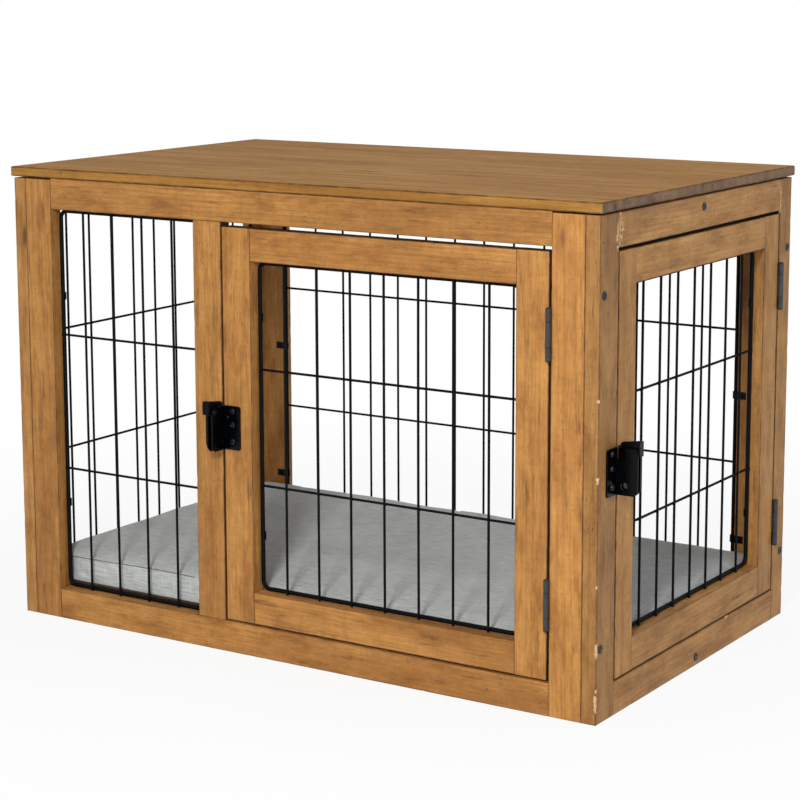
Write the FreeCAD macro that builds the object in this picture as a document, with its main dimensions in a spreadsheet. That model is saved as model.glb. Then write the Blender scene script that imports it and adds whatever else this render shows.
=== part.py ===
"""Dog crate end table: a timber case with a table top, wire windows, two hinged doors and a floor cushion.

Origin: the centre of the case on the floor. +Z up, +X along the length, the front faces -Y. Millimetres.
Every panel, door, wire grid, hinge and latch is drawn in a panel frame and then set on its side of the
case. In a panel frame x runs from left to right as the panel is seen from outside, y goes inwards from the
panel's outer face, and z goes up from the floor.
"""
import FreeCAD
import Part
import math
import os
import re

from FreeCAD import Placement, Rotation, Vector
from Sketcher import Constraint

os.makedirs("parts", exist_ok=True)
doc = FreeCAD.newDocument("dog_crate_end_table")

# ---------------------------------------------------------------- driving dimensions

SIZES = [
    # the case
    ("case_length", 811, "over the two side panels"),
    ("case_depth", 498, "over the front and back panels"),
    ("frame_height", 550, "top of every stile"),
    ("timber", 18, "thickness of every stile and rail"),
    ("stile_width", 40, "stiles, mullion and door stiles"),
    ("side_front_stile_width", 41, "front stile of the two side panels"),
    ("side_rear_stile_width", 33, "rear stile of the two side panels"),
    ("rail_width", 38, "top and bottom rails"),
    ("top_seat", 2, "how far the front and back rails rise over the stiles to carry the top"),
    ("window_width", 218, "fixed window at the left of the front"),
    ("arris", 0.8, "chamfer of the long edges"),
    ("top_thickness", 12, "table top"),
    ("top_overhang", 2.5, "table top past the case on every side"),
    ("top_arris", 1.2, "chamfer of the table top's edges"),
    ("floor_thickness", 6, "floor board"),
    ("floor_play", 0.5, "floor board to the panels"),
    ("cleat_side", 18, "square ledger strips under the floor board"),
    # joinery
    ("tenon_length", 14, "stub tenons on every rail"),
    ("tenon_thickness", 6, "across the timber"),
    ("tenon_shoulder", 7, "rail edge to tenon edge"),
    ("tenon_play", 0.1, "mortise round the tenon"),
    ("tenon_end_play", 1, "mortise past the tenon's end"),
    ("screw_low", 83, "height of the lower panel screws"),
    ("screw_high", 465, "height of the upper panel screws"),
    ("screw_inset", 9, "screw axis to the corner of the case"),
    ("foot_screw_height", 10.3, "height of the screw into the floor rail"),
    ("head_screw_drop", 15.4, "screw into the top rail, below the top's underside"),
    ("cut_past", 1, "how far a cut runs past what it cuts"),
    ("screw_diameter", 5, "shank"),
    ("screw_head_diameter", 10, ""),
    ("screw_head_depth", 2.6, "head, flush with the panel"),
    ("screw_length", 45, "over all"),
    # the doors
    ("door_latch_gap", 2.3, "between a door and its latch stile"),
    ("door_hinge_gap", 2.8, "between a door and its hinge stile"),
    ("door_foot_gap", 2.2, "below a door"),
    ("front_door_head_gap", 5.4, "above the front door"),
    ("side_door_head_gap", 3.8, "above the side door"),
    # wire grids
    ("rod_diameter", 5, "frame rod of a grid"),
    ("wire_diameter", 3, "bars and ties of a grid"),
    ("rod_bend", 9, "centre-line radius at a grid's corners"),
    ("weld_depth", 0.4, "how far two wires are pressed into each other"),
    ("rod_play", 0.4, "rod to the window's edge"),
    ("rod_set_in", 0.2, "rod short of the timber's inner face"),
    ("front_pitch", 45.4, "bar spacing, front and back"),
    ("side_pitch", 43.3, "bar spacing, sides"),
    ("bar_margin", 30, "least distance from the rod to the first bar"),
    ("front_tie_low", 190, "ties of the front window and the back"),
    ("front_tie_high", 358, ""),
    ("left_tie_low", 200, "ties of the left side"),
    ("left_tie_high", 354, ""),
    ("front_door_tie_low", 205, "ties of the front door"),
    ("front_door_tie_high", 343, ""),
    ("side_door_tie_low", 200, "ties of the side door"),
    ("side_door_tie_high", 346, ""),
    # clips that hold the rods
    ("clip_width", 9, ""),
    ("clip_thickness", 1.2, ""),
    ("clip_tab", 12, "flat tab on the stile"),
    ("clip_play", 0.2, "clip round the rod"),
    ("clip_rise", 130, "clips above and below the middle of a window"),
    ("back_clip_rise", 184, "the same in the back, which has a middle clip too"),
    # hinges
    ("hinge_length", 56, "over the three knuckles"),
    ("hinge_foot_rise", 57, "lower hinge above the door's foot"),
    ("hinge_head_drop", 60, "upper hinge below the door's head"),
    ("knuckle_diameter", 6.5, ""),
    ("hinge_pin_diameter", 3.2, ""),
    ("hinge_pin_play", 0.05, "radial"),
    ("knuckle_gap", 0.3, "between two knuckles"),
    ("hinge_button_height", 1, "heads of a hinge pin"),
    ("knuckle_stand_off", 0.35, "knuckle to the face of the timber"),
    ("leaf_thickness", 1.2, ""),
    ("leaf_depth", 15, "leaf in the gap behind the face"),
    ("leaf_inset", 0.2, "leaf behind the face, joined to its knuckles by a neck"),
    # latches
    ("latch_height", 273, "middle of the latch plates"),
    ("plate_height", 52, ""),
    ("plate_thickness", 2, ""),
    ("plate_width", 21, "leg on the timber"),
    ("plate_stand_out", 27, "flange off the timber"),
    ("flange_space", 4.5, "between the two flanges"),
    ("plate_corner", 5, "rounding of a flange's upper outer corner"),
    ("plate_chamfer", 5, "chamfer of a flange's lower outer corner"),
    ("plate_nip", 1.5, "chamfer of a leg's corners"),
    ("bend_radius", 1.8, "outside of the bend between leg and flange"),
    ("latch_screw_low", -16, "screws of a plate, from its middle"),
    ("latch_screw_mid", 4, ""),
    ("latch_screw_high", 20, ""),
    ("latch_screw_diameter", 3, ""),
    ("latch_screw_length", 14, "under the head"),
    ("latch_screw_head_diameter", 7, ""),
    ("latch_screw_head_height", 1.8, ""),
    ("notch_width", 9.5, "notch in the frame's flange that takes the lever's hook"),
    ("notch_depth", 13, ""),
    ("lock_hole_diameter", 8, "padlock hole"),
    ("lock_hole_out", 11, "padlock hole off the timber"),
    ("lock_hole_drop", 16, "padlock hole below the middle"),
    ("pivot_out", 21.5, "lever's pivot off the timber"),
    ("pivot_drop", 6, "lever's pivot below the plate's top"),
    ("pivot_diameter", 4, ""),
    ("pivot_play", 0.06, "radial"),
    ("pivot_head_diameter", 8, "domed head outside the door's flange"),
    ("pivot_head_height", 2.2, ""),
    ("pivot_dome", 1.3, "chamfer of the domed head"),
    ("pivot_foot_diameter", 7, "flat head inside the lever"),
    ("pivot_foot_height", 1, ""),
    ("pivot_end_play", 0.1, "lever to the flat head"),
    ("boss_diameter", 11, "lever round its pivot"),
    ("lever_thickness", 2, ""),
    ("lever_side_play", 0.4, "lever to the door's flange"),
    ("lever_lift", 0.5, "hook above the plate at rest"),
    ("hook_out", 4.3, "hook off the timber"),
    ("hook_width", 4.4, ""),
    ("hook_reach", 2.8, "hook past the frame's flange"),
    ("hook_shoulder", 3, "arm over the foot of the hook, at its outer end"),
    ("throat_out", 10.9, "where the arm's lower edge leaves the hook's height, off the timber"),
    ("arm_height", 5, "arm over the hook's foot"),
    ("thumb_space", 2, "flanges to the thumb tab"),
    ("thumb_width", 9, "thumb tab, across the flanges"),
    ("thumb_height", 16.5, ""),
    ("thumb_drop", 1.6, "thumb tab's foot below the pivot"),
    ("thumb_nip", 3, "chamfer of the thumb tab's corners"),
    ("stud_diameter", 5.4, "domed stud on the door's leg, beside the bend"),
    ("stud_height", 2.4, ""),
    ("stud_dome", 1.2, "chamfer of the domed stud"),
    ("stud_inset", 4.8, "stud's axis to the flange's inner face"),
    ("stud_rise", 12.3, "stud above the plate's middle"),
    # the cushion
    ("cushion_play", 4, "cushion to the case"),
    ("cushion_band", 32, "height of the cushion's side"),
    ("cushion_crown", 5, "rise of the top panel over its seam"),
    ("cushion_crown_run", 150, "from the seam to where the top panel is level"),
    ("cushion_bulge", 0.5, "the band's middle past its two seams"),
    ("cushion_draw", 3.5, "how far a side pulls in between its corners"),
    ("cushion_corner", 24, "plan radius of the cushion's corners"),
    ("cushion_roll", 5, "rounding where the side meets the floor"),
]

sizes = doc.addObject("Spreadsheet::Sheet", "Sizes")
for row, (alias, number, note) in enumerate(SIZES, start=1):
    sizes.set(f"A{row}", alias)
    sizes.set(f"B{row}", str(number))
    sizes.set(f"C{row}", note)
    sizes.setAlias(f"B{row}", alias)

# Places worked out from the sizes. Heights are from the floor. What ends in _x is in a panel frame.
PLACES = [
    ("underside", "frame_height + top_seat"),
    ("panel_length", "case_length - 2 * timber"),
    ("panel_start", "timber"),
    ("panel_end", "case_length - timber"),
    ("window_start", "panel_start + stile_width"),
    ("mullion_start", "window_start + window_width"),
    ("front_opening_start", "mullion_start + stile_width"),
    ("front_opening_end", "panel_end - stile_width"),
    ("side_opening_start", "side_front_stile_width"),
    ("side_opening_end", "case_depth - side_rear_stile_width"),
    ("front_head", "underside - rail_width"),
    ("side_head", "frame_height - rail_width"),
    ("door_foot", "rail_width + door_foot_gap"),
    ("front_door_head", "front_head - front_door_head_gap"),
    ("side_door_head", "side_head - side_door_head_gap"),
    ("floor_base", "rail_width"),
    ("floor_top", "floor_base + floor_thickness"),
    ("rod_inset", "rod_diameter / 2 + rod_play"),
    ("rod_depth", "timber - rod_set_in - rod_diameter / 2"),
    ("tie_depth", "rod_depth - (rod_diameter - wire_diameter) / 2"),
    ("bar_depth", "rod_depth - (rod_diameter + wire_diameter) / 2 + weld_depth"),
    ("hinge_out", "knuckle_diameter / 2 + knuckle_stand_off"),
    ("front_hinge_x", "front_opening_end - door_hinge_gap / 2"),
    ("side_hinge_x", "side_opening_end - door_hinge_gap / 2"),
    ("front_latch_x", "front_opening_start + door_latch_gap / 2"),
    ("side_latch_x", "side_opening_start + door_latch_gap / 2"),
    ("lever_start", "flange_space / 2 - lever_side_play - lever_thickness"),
    ("pivot_rise", "plate_height / 2 - pivot_drop"),
    ("thumb_face", "-plate_stand_out - thumb_space"),
    ("hook_base", "plate_height / 2 + lever_lift"),
    ("head_screw_height", "underside - head_screw_drop"),
]
SHEETS = dict.fromkeys((alias for alias, number, note in SIZES), "Sizes")
SHEETS.update(dict.fromkeys((alias for alias, formula in PLACES), "Places"))


def bound(formula):
    """The formula with each alias written with its sheet, as an expression wants it."""
    return re.sub(r"[a-z]+_[a-z_]+|timber|arris|underside", lambda word: f"{SHEETS[word.group()]}.{word.group()}",
                  formula)


places = doc.addObject("Spreadsheet::Sheet", "Places")
for row, (alias, formula) in enumerate(PLACES, start=1):
    own = re.sub(r"Places\.", "", bound(formula))
    places.set(f"A{row}", alias)
    places.set(f"B{row}", "=" + own)
    places.setAlias(f"B{row}", alias)
doc.recompute()
origin = doc.addObject("App::Origin", "Case_origin")


def read(formula):
    """A formula worked out as a number."""
    return float(origin.evalExpression(bound(formula)))


# ---------------------------------------------------------------- the four sides of the case

# turn about +Z, then the case's X and Y of a point x, y of the panel frame
SIDES = {
    "front": (0, "({x}) - case_length / 2", "({y}) - case_depth / 2"),
    "right": (90, "case_length / 2 - ({y})", "({x}) - case_depth / 2"),
    "back": (180, "case_length / 2 - ({x})", "case_depth / 2 - ({y})"),
    "left": (270, "({y}) - case_length / 2", "case_depth / 2 - ({x})"),
    "middle": (0, "{x}", "{y}"),
}


def set_on(piece, side, x="0", y="0", z="0"):
    """Stand a piece on a side of the case, its own origin at x, y, z of the panel frame."""
    turn, case_x, case_y = SIDES[side]
    piece.Placement = Placement(Vector(), Rotation(Vector(0, 0, 1), turn))
    piece.setExpression("Placement.Base.x", bound(case_x.format(x=x, y=y)))
    piece.setExpression("Placement.Base.y", bound(case_y.format(x=x, y=y)))
    piece.setExpression("Placement.Base.z", bound(z))
    return piece


def side_placement(side):
    """The panel frame of a side as a plain placement, for the groups of fasteners."""
    length, depth = read("case_length / 2"), read("case_depth / 2")
    turn = SIDES[side][0]
    corner = {"front": (-length, -depth), "right": (length, -depth), "back": (length, depth), "left": (-length, depth)}
    return Placement(Vector(*corner[side], 0), Rotation(Vector(0, 0, 1), turn))


finished = []


def finish(piece, label):
    piece.Label = label
    finished.append(piece)
    return piece


# ---------------------------------------------------------------- helpers for bodies

def add(body, kind, name, sizes_of, x="0", y="0", z="0", turn=None):
    """A primitive feature of a body, its sizes and its place bound to formulas."""
    feature = body.newObject("PartDesign::" + kind, name)
    for key, formula in sizes_of.items():
        feature.setExpression(key, bound(formula))
    if turn:
        feature.Placement = Placement(Vector(), Rotation(Vector(*turn[0]), turn[1]))
    for axis, formula in zip("xyz", (x, y, z)):
        feature.setExpression("Placement.Base." + axis, bound(formula))
    return feature


SHANK_SIDES, HEAD_SIDES = 6, 12
INWARDS = ((1, 0, 0), -90)
ACROSS = ((0, 1, 0), 90)


def faceted(body, name, diameter, height, sides, x="0", y="0", z="0", turn=None):
    """A many-sided prism for what is round but only stands or shows, the diameter across its corners."""
    prism = add(body, "AdditivePrism", f"{body.Name}_{name}", {"Circumradius": f"({diameter}) / 2", "Height": height},
                x, y, z, turn)
    prism.Polygon = sides
    return prism


TOUCH = 0.01   # two points nearer than this are one


def edges_where(shape, test):
    return [f"Edge{i}" for i, edge in enumerate(shape.Edges, start=1) if test(edge)]


def runs_along(axis):
    """A test for straight edges that run along an axis."""
    def test(edge):
        if edge.Curve.TypeId != "Part::GeomLine":
            return False
        return abs(edge.tangentAt(edge.FirstParameter).dot(axis)) > 0.999
    return test


AXES = {"x": Vector(1, 0, 0), "y": Vector(0, 1, 0), "z": Vector(0, 0, 1)}


def through(x, y, z):
    """A test for the edge whose middle is at the point."""
    def test(edge):
        return edge.valueAt((edge.FirstParameter + edge.LastParameter) / 2).distanceToPoint(Vector(x, y, z)) < TOUCH
    return test


def dress(body, base, kind, name, amount, test):
    """A fillet or a chamfer on the edges of a feature that pass a test."""
    doc.recompute()
    feature = body.newObject("PartDesign::" + kind, name)
    feature.Base = (base, edges_where(base.Shape, test))
    feature.setExpression("Radius" if kind == "Fillet" else "Size", bound(amount))
    return feature


def timber(label, side, start, stop, grain, y="0", thickness="timber"):
    """A bar of timber from start to stop, each (x, z) in the panel frame, with its long edges eased."""
    body = doc.addObject("PartDesign::Body", label)
    spans = {
        "Length": f"({stop[0]}) - ({start[0]})",
        "Width": thickness,
        "Height": f"({stop[1]}) - ({start[1]})",
    }
    blank = add(body, "AdditiveBox", label + "_blank", spans)
    dress(body, blank, "Chamfer", label + "_arrises", "arris", runs_along(AXES[grain]))
    set_on(body, side, start[0], y, start[1])
    return finish(body, label)


def tenons(rail, length, width, grain="x"):
    """A stub tenon on each end of a bar of the given length and width."""
    across = f"({width}) - 2 * tenon_shoulder"
    for name, at in (("_first_tenon", "-tenon_length"), ("_second_tenon", length)):
        if grain == "x":
            box = {"Length": "tenon_length", "Width": "tenon_thickness", "Height": across}
            place = (at, "(timber - tenon_thickness) / 2", "tenon_shoulder")
        else:
            box = {"Length": across, "Width": "tenon_thickness", "Height": "tenon_length"}
            place = ("tenon_shoulder", "(timber - tenon_thickness) / 2", at)
        add(rail, "AdditiveBox", rail.Name + name, box, *place)


def mortise(piece, name, x, z, width, grain="x"):
    """A slot for a tenon. x, z is its corner in the piece's own frame, at the face that the shoulder meets."""
    depth = "tenon_length + tenon_end_play"
    across = f"({width}) - 2 * tenon_shoulder + 2 * tenon_play"
    thick = "tenon_thickness + 2 * tenon_play"
    inset = "(timber - tenon_thickness) / 2 - tenon_play"
    if grain == "x":
        add(piece, "SubtractiveBox", name, {"Length": depth, "Width": thick, "Height": across},
            x, inset, f"({z}) + tenon_shoulder - tenon_play")
    else:
        add(piece, "SubtractiveBox", name, {"Length": across, "Width": thick, "Height": depth},
            f"({x}) + tenon_shoulder - tenon_play", inset, z)


def framed(side, labels, left, right, foot, head, widths=("stile_width", "stile_width"), rail_head=None):
    """Two stiles with two rails tenoned between them. Labels: left and right stile, top and bottom rail."""
    rail_head = rail_head or head
    left_width, right_width = widths
    inner_left, inner_right = f"({left}) + {left_width}", f"({right}) - {right_width}"
    left_stile = timber(labels[0], side, (left, foot), (inner_left, head), "z")
    right_stile = timber(labels[1], side, (inner_right, foot), (right, head), "z")
    top_start = f"({rail_head}) - rail_width"
    top_rail = timber(labels[2], side, (inner_left, top_start), (inner_right, rail_head), "x")
    bottom_rail = timber(labels[3], side, (inner_left, foot), (inner_right, f"({foot}) + rail_width"), "x")
    length = f"({inner_right}) - ({inner_left})"
    rise = f"({top_start}) - ({foot})"
    for rail in (top_rail, bottom_rail):
        tenons(rail, length, "rail_width")
    for name, z in (("_foot_mortise", "0"), ("_head_mortise", rise)):
        mortise(left_stile, labels[0] + name, f"{left_width} - tenon_length - tenon_end_play", z, "rail_width")
        mortise(right_stile, labels[1] + name, "0", z, "rail_width")
    return left_stile, right_stile, top_rail, bottom_rail


# ---------------------------------------------------------------- the case

def make_front():
    labels = ("front_left_stile", "front_right_stile", "front_top_rail", "front_bottom_rail")
    stiles_and_rails = framed("front", labels, "panel_start", "panel_end", "0", "frame_height",
                              rail_head="underside")
    mullion = timber("front_mullion", "front", ("mullion_start", "rail_width"),
                     ("front_opening_start", "front_head"), "z")
    tenons(mullion, "front_head - rail_width", "stile_width", grain="z")
    top_rail, bottom_rail = stiles_and_rails[2:]
    mortise(top_rail, "mullion_head_mortise", "mullion_start - window_start", "0", "stile_width", "z")
    mortise(bottom_rail, "mullion_foot_mortise", "mullion_start - window_start",
            "rail_width - tenon_length - tenon_end_play", "stile_width", "z")


def make_back():
    labels = ("back_right_stile", "back_left_stile", "back_top_rail", "back_bottom_rail")
    framed("back", labels, "panel_start", "panel_end", "0", "frame_height", rail_head="underside")


def make_side(side, front_first):
    ends = ("front", "rear") if front_first else ("rear", "front")
    width = {"front": "side_front_stile_width", "rear": "side_rear_stile_width"}
    labels = [f"{side}_{end}_stile" for end in ends] + [side + "_top_rail", side + "_bottom_rail"]
    framed(side, labels, "0", "case_depth", "0", "frame_height", [width[end] for end in ends])


def make_inner_timber():
    """The long rails between the side panels, the ledger strips and the floor board."""
    start, stop = "timber - case_length / 2", "case_length / 2 - timber"
    timber("top_middle_rail", "middle", (start, "front_head"), (stop, "underside"), "x", y="-timber / 2")
    timber("floor_middle_rail", "middle", (start, "0"), (stop, "floor_base"), "x", y="-timber / 2")
    cleat_base = "floor_base - cleat_side"
    front_y = "timber - case_depth / 2"
    back_y = "case_depth / 2 - timber - cleat_side"
    for label, y in (("floor_front_cleat", front_y), ("floor_back_cleat", back_y)):
        timber(label, "middle", (start, cleat_base), (stop, "floor_base"), "x", y, "cleat_side")
    board = doc.addObject("PartDesign::Body", "floor_board")
    add(board, "AdditiveBox", "floor_board_sheet", {
        "Length": "case_length - 2 * (timber + floor_play)",
        "Width": "case_depth - 2 * (timber + floor_play)",
        "Height": "floor_thickness",
    })
    set_on(board, "middle", "timber + floor_play - case_length / 2", "timber + floor_play - case_depth / 2",
           "floor_base")
    finish(board, "floor_board")


def make_table_top():
    body = doc.addObject("PartDesign::Body", "table_top")
    sheet = add(body, "AdditiveBox", "table_top_sheet", {
        "Length": "case_length + 2 * top_overhang",
        "Width": "case_depth + 2 * top_overhang",
        "Height": "top_thickness",
    })
    dress(body, sheet, "Chamfer", "table_top_edges", "top_arris", lambda edge: True)
    set_on(body, "middle", "-case_length / 2 - top_overhang", "-case_depth / 2 - top_overhang", "underside")
    finish(body, "table_top")


def group(label, master, places_of):
    """One node that holds a copy of the master's solid at each placement."""
    copies = []
    for place in places_of:
        copy = master.Shape.copy()
        copy.Placement = place.multiply(master.Placement)
        copies.append(copy)
    feature = doc.addObject("Part::Feature", label)
    feature.Shape = Part.makeCompound(copies)
    return finish(feature, label)


def at(side, x, y, z):
    """The placement of a point of a panel frame."""
    return side_placement(side).multiply(Placement(Vector(x, y, z), Rotation()))


def make_panel_screws():
    """Flush-headed screws, six through each side panel into the front, the back and the long rails."""
    master = doc.addObject("PartDesign::Body", "panel_screw")
    faceted(master, "shank", "screw_diameter", "screw_length", SHANK_SIDES, turn=INWARDS)
    faceted(master, "head", "screw_head_diameter", "screw_head_depth", HEAD_SIDES, turn=INWARDS)
    doc.recompute()
    inset, depth = read("screw_inset"), read("case_depth")
    spots = [(x, z) for x in (inset, depth - inset) for z in (read("screw_low"), read("screw_high"))]
    spots += [(depth / 2, read("foot_screw_height")), (depth / 2, read("head_screw_height"))]
    group("panel_screws", master, [at(side, x, 0, z) for side in ("right", "left") for x, z in spots])


# ---------------------------------------------------------------- wire grids and their clips

WIRE_SIDES = 8


def section(radius, centre, across):
    """A wire's section, with flats across and along y, of the given half width."""
    reach = radius / math.cos(math.pi / WIRE_SIDES)
    corners = []
    for k in range(WIRE_SIDES + 1):
        angle = (2 * k + 1) * math.pi / WIRE_SIDES
        corners.append(centre + across * (reach * math.cos(angle)) + AXES["y"] * (reach * math.sin(angle)))
    return Part.makePolygon(corners)


BEND_STEPS = 3


def bent_rod(width, height, bend, radius):
    """A closed rounded rectangle of wire in the XZ plane, its first corner at the origin."""
    pieces = []
    middles = ((width - bend, height - bend), (bend, height - bend), (bend, bend), (width - bend, bend))
    for quarter, (x, z) in enumerate(middles):
        rings = []
        for k in range(BEND_STEPS + 1):
            angle = math.pi / 2 * (quarter + k / BEND_STEPS)
            outwards = Vector(math.cos(angle), 0, math.sin(angle))
            rings.append(section(radius, Vector(x, 0, z) + outwards * bend, outwards))
        pieces.append(Part.makeLoft(rings, True, True))
    runs = ((Vector(bend, 0, 0), Vector(width - bend, 0, 0)), (Vector(0, 0, bend), Vector(0, 0, height - bend)),
            (Vector(bend, 0, height), Vector(width - bend, 0, height)),
            (Vector(width, 0, bend), Vector(width, 0, height - bend)))
    for start, stop in runs:
        across = AXES["z"] if start.z == stop.z else AXES["x"]
        pieces.append(Part.Face(section(radius, start, across)).extrude(stop - start))
    return pieces[0].fuse(pieces[1:])


def make_grid(label, side, edges, pitch, ties):
    """A welded grid: a bent frame rod, upright bars pressed on its outer side, and two ties behind the bars."""
    left, right, foot, head = edges
    width = f"({right}) - ({left}) - 2 * rod_inset"
    height = f"({head}) - ({foot}) - 2 * rod_inset"
    span, rise = read(width), read(height)
    rod = doc.addObject("Part::Feature", label + "_rod")
    rod.Shape = bent_rod(span, rise, read("rod_bend"), read("rod_diameter") / 2)
    bars = int((span - read("2 * bar_margin")) / read(pitch)) + 1
    wires = [rod]

    def wire(name, x, y, z, length, turn):
        bar = doc.addObject("Part::Prism", name)
        bar.Polygon = WIRE_SIDES
        bar.setExpression("Circumradius", bound(f"wire_diameter / 2 / cos({180 / WIRE_SIDES})"))
        bar.setExpression("Height", bound(length))
        bar.Placement = Placement(Vector(), turn)
        for axis, formula in zip("xyz", (x, y, z)):
            bar.setExpression("Placement.Base." + axis, bound(formula))
        wires.append(bar)

    flats = Rotation(AXES["z"], 180 / WIRE_SIDES)
    for k in range(bars):
        wire(f"{label}_bar_{k + 1}", f"({width}) / 2 + ({k - (bars - 1) / 2}) * {pitch}", "bar_depth - rod_depth",
             "-rod_diameter / 2", f"({height}) + rod_diameter", flats)
    for k, tie in enumerate(ties, start=1):
        wire(f"{label}_tie_{k}", "0", "tie_depth - rod_depth", f"{tie} - ({foot}) - rod_inset", width,
             Rotation(AXES["y"], 90).multiply(flats))
    grid = doc.addObject("Part::MultiFuse", label)
    grid.Shapes = wires
    grid.Refine = True
    set_on(grid, side, f"({left}) + rod_inset", "rod_depth", f"({foot}) + rod_inset")
    finish(grid, label)


def clip_profile(hand):
    """The bent strip of a clip in plan, at a window's edge. Hand is 1 at a window's left edge and -1 at its right."""
    face, thick, inset = read("timber"), read("clip_thickness"), read("rod_inset")
    reach = read("rod_diameter / 2 + clip_play")
    ease = reach * math.tan(math.pi / 8)
    tip = read("rod_depth")
    outline = [
        (-read("clip_tab"), face), (inset + ease, face), (inset + reach, face - reach + ease), (inset + reach, tip),
        (inset + reach + thick, tip), (inset + reach + thick, face - reach + ease + thick / 2),
        (inset + ease + thick / 2, face + thick), (-read("clip_tab"), face + thick)]
    corners = [Vector(hand * x, y, 0) for x, y in outline]
    return Part.makePolygon(corners + corners[:1])


def make_clips(label, windows):
    """Bent strip clips that hold the frame rods. Each window: its side, edges and the clips' rises."""
    clips = []
    for side, (left, right, foot, head), rises in windows:
        for x, hand in ((left, 1), (right, -1)):
            strip = Part.Face(clip_profile(hand)).extrude(Vector(0, 0, read("clip_width")))
            for rise in rises:
                copy = strip.copy()
                copy.Placement = at(side, read(x), 0, read(f"({foot} + {head} - clip_width) / 2 + {rise}"))
                clips.append(copy)
    feature = doc.addObject("Part::Feature", label)
    feature.Shape = Part.makeCompound(clips)
    finish(feature, label)


# ---------------------------------------------------------------- doors, hinges and latches

def make_door(door, side, start, stop, head):
    labels = [f"{door}_{name}" for name in ("latch_stile", "hinge_stile", "top_rail", "bottom_rail")]
    framed(side, labels, f"{start} + door_latch_gap", f"{stop} - door_hinge_gap", "door_foot", head)


def hinge_masters():
    """Two leaves and a pin, drawn about the hinge's axis with the hinge's foot at z 0. The frame is on +x."""
    quarter = "hinge_length / 4"
    wall = {"Radius": "knuckle_diameter / 2"}
    bore = {"Radius": "hinge_pin_diameter / 2 + hinge_pin_play", "Height": "hinge_length + 2 * cut_past"}
    face = "hinge_out + leaf_inset"
    frame = doc.addObject("PartDesign::Body", "hinge_frame_leaf")
    leaf = {"Length": "leaf_thickness", "Width": "leaf_depth", "Height": "hinge_length"}
    frame_x = "door_hinge_gap / 2 - leaf_thickness"
    add(frame, "AdditiveBox", "frame_leaf", leaf, frame_x, face)
    door = doc.addObject("PartDesign::Body", "hinge_door_leaf")
    add(door, "AdditiveBox", "door_leaf", leaf, "-door_hinge_gap / 2", face)
    outer, inner = f"{quarter} - knuckle_gap / 2", f"2 * {quarter} - knuckle_gap"
    for body, x, name, z, height in (
            (frame, frame_x, "foot", "0", outer),
            (frame, frame_x, "head", f"3 * {quarter} + knuckle_gap / 2", outer),
            (door, "-door_hinge_gap / 2", "middle", f"{quarter} + knuckle_gap / 2", inner)):
        add(body, "AdditiveCylinder", name + "_knuckle", dict(wall, Height=height), "0", "0", z)
        add(body, "AdditiveBox", name + "_neck",
            {"Length": "leaf_thickness", "Width": face, "Height": height}, x, "0", z)
    for body in (frame, door):
        add(body, "SubtractiveCylinder", body.Name + "_bore", bore, "0", "0", "-cut_past")
    pin = doc.addObject("PartDesign::Body", "hinge_pin")
    add(pin, "AdditiveCylinder", "hinge_pin_shank", {
        "Radius": "hinge_pin_diameter / 2", "Height": "hinge_length + 2 * knuckle_gap"}, "0", "0", "-knuckle_gap")
    for name, z in (("foot", "-knuckle_gap - hinge_button_height"), ("head", "hinge_length + knuckle_gap")):
        faceted(pin, name + "_button", "knuckle_diameter", "hinge_button_height", HEAD_SIDES, z=z)
    doc.recompute()
    return frame, door, pin


def make_hinges(door, side, axis_x, head):
    heights = (read("door_foot + hinge_foot_rise"), read(head + " - hinge_head_drop - hinge_length"))
    spots = [at(side, read(axis_x), -read("hinge_out"), height) for height in heights]
    for master, name in zip(HINGE, ("frame_leaves", "door_leaves", "pins")):
        group(f"{door}_hinge_{name}", master, spots)


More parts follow.
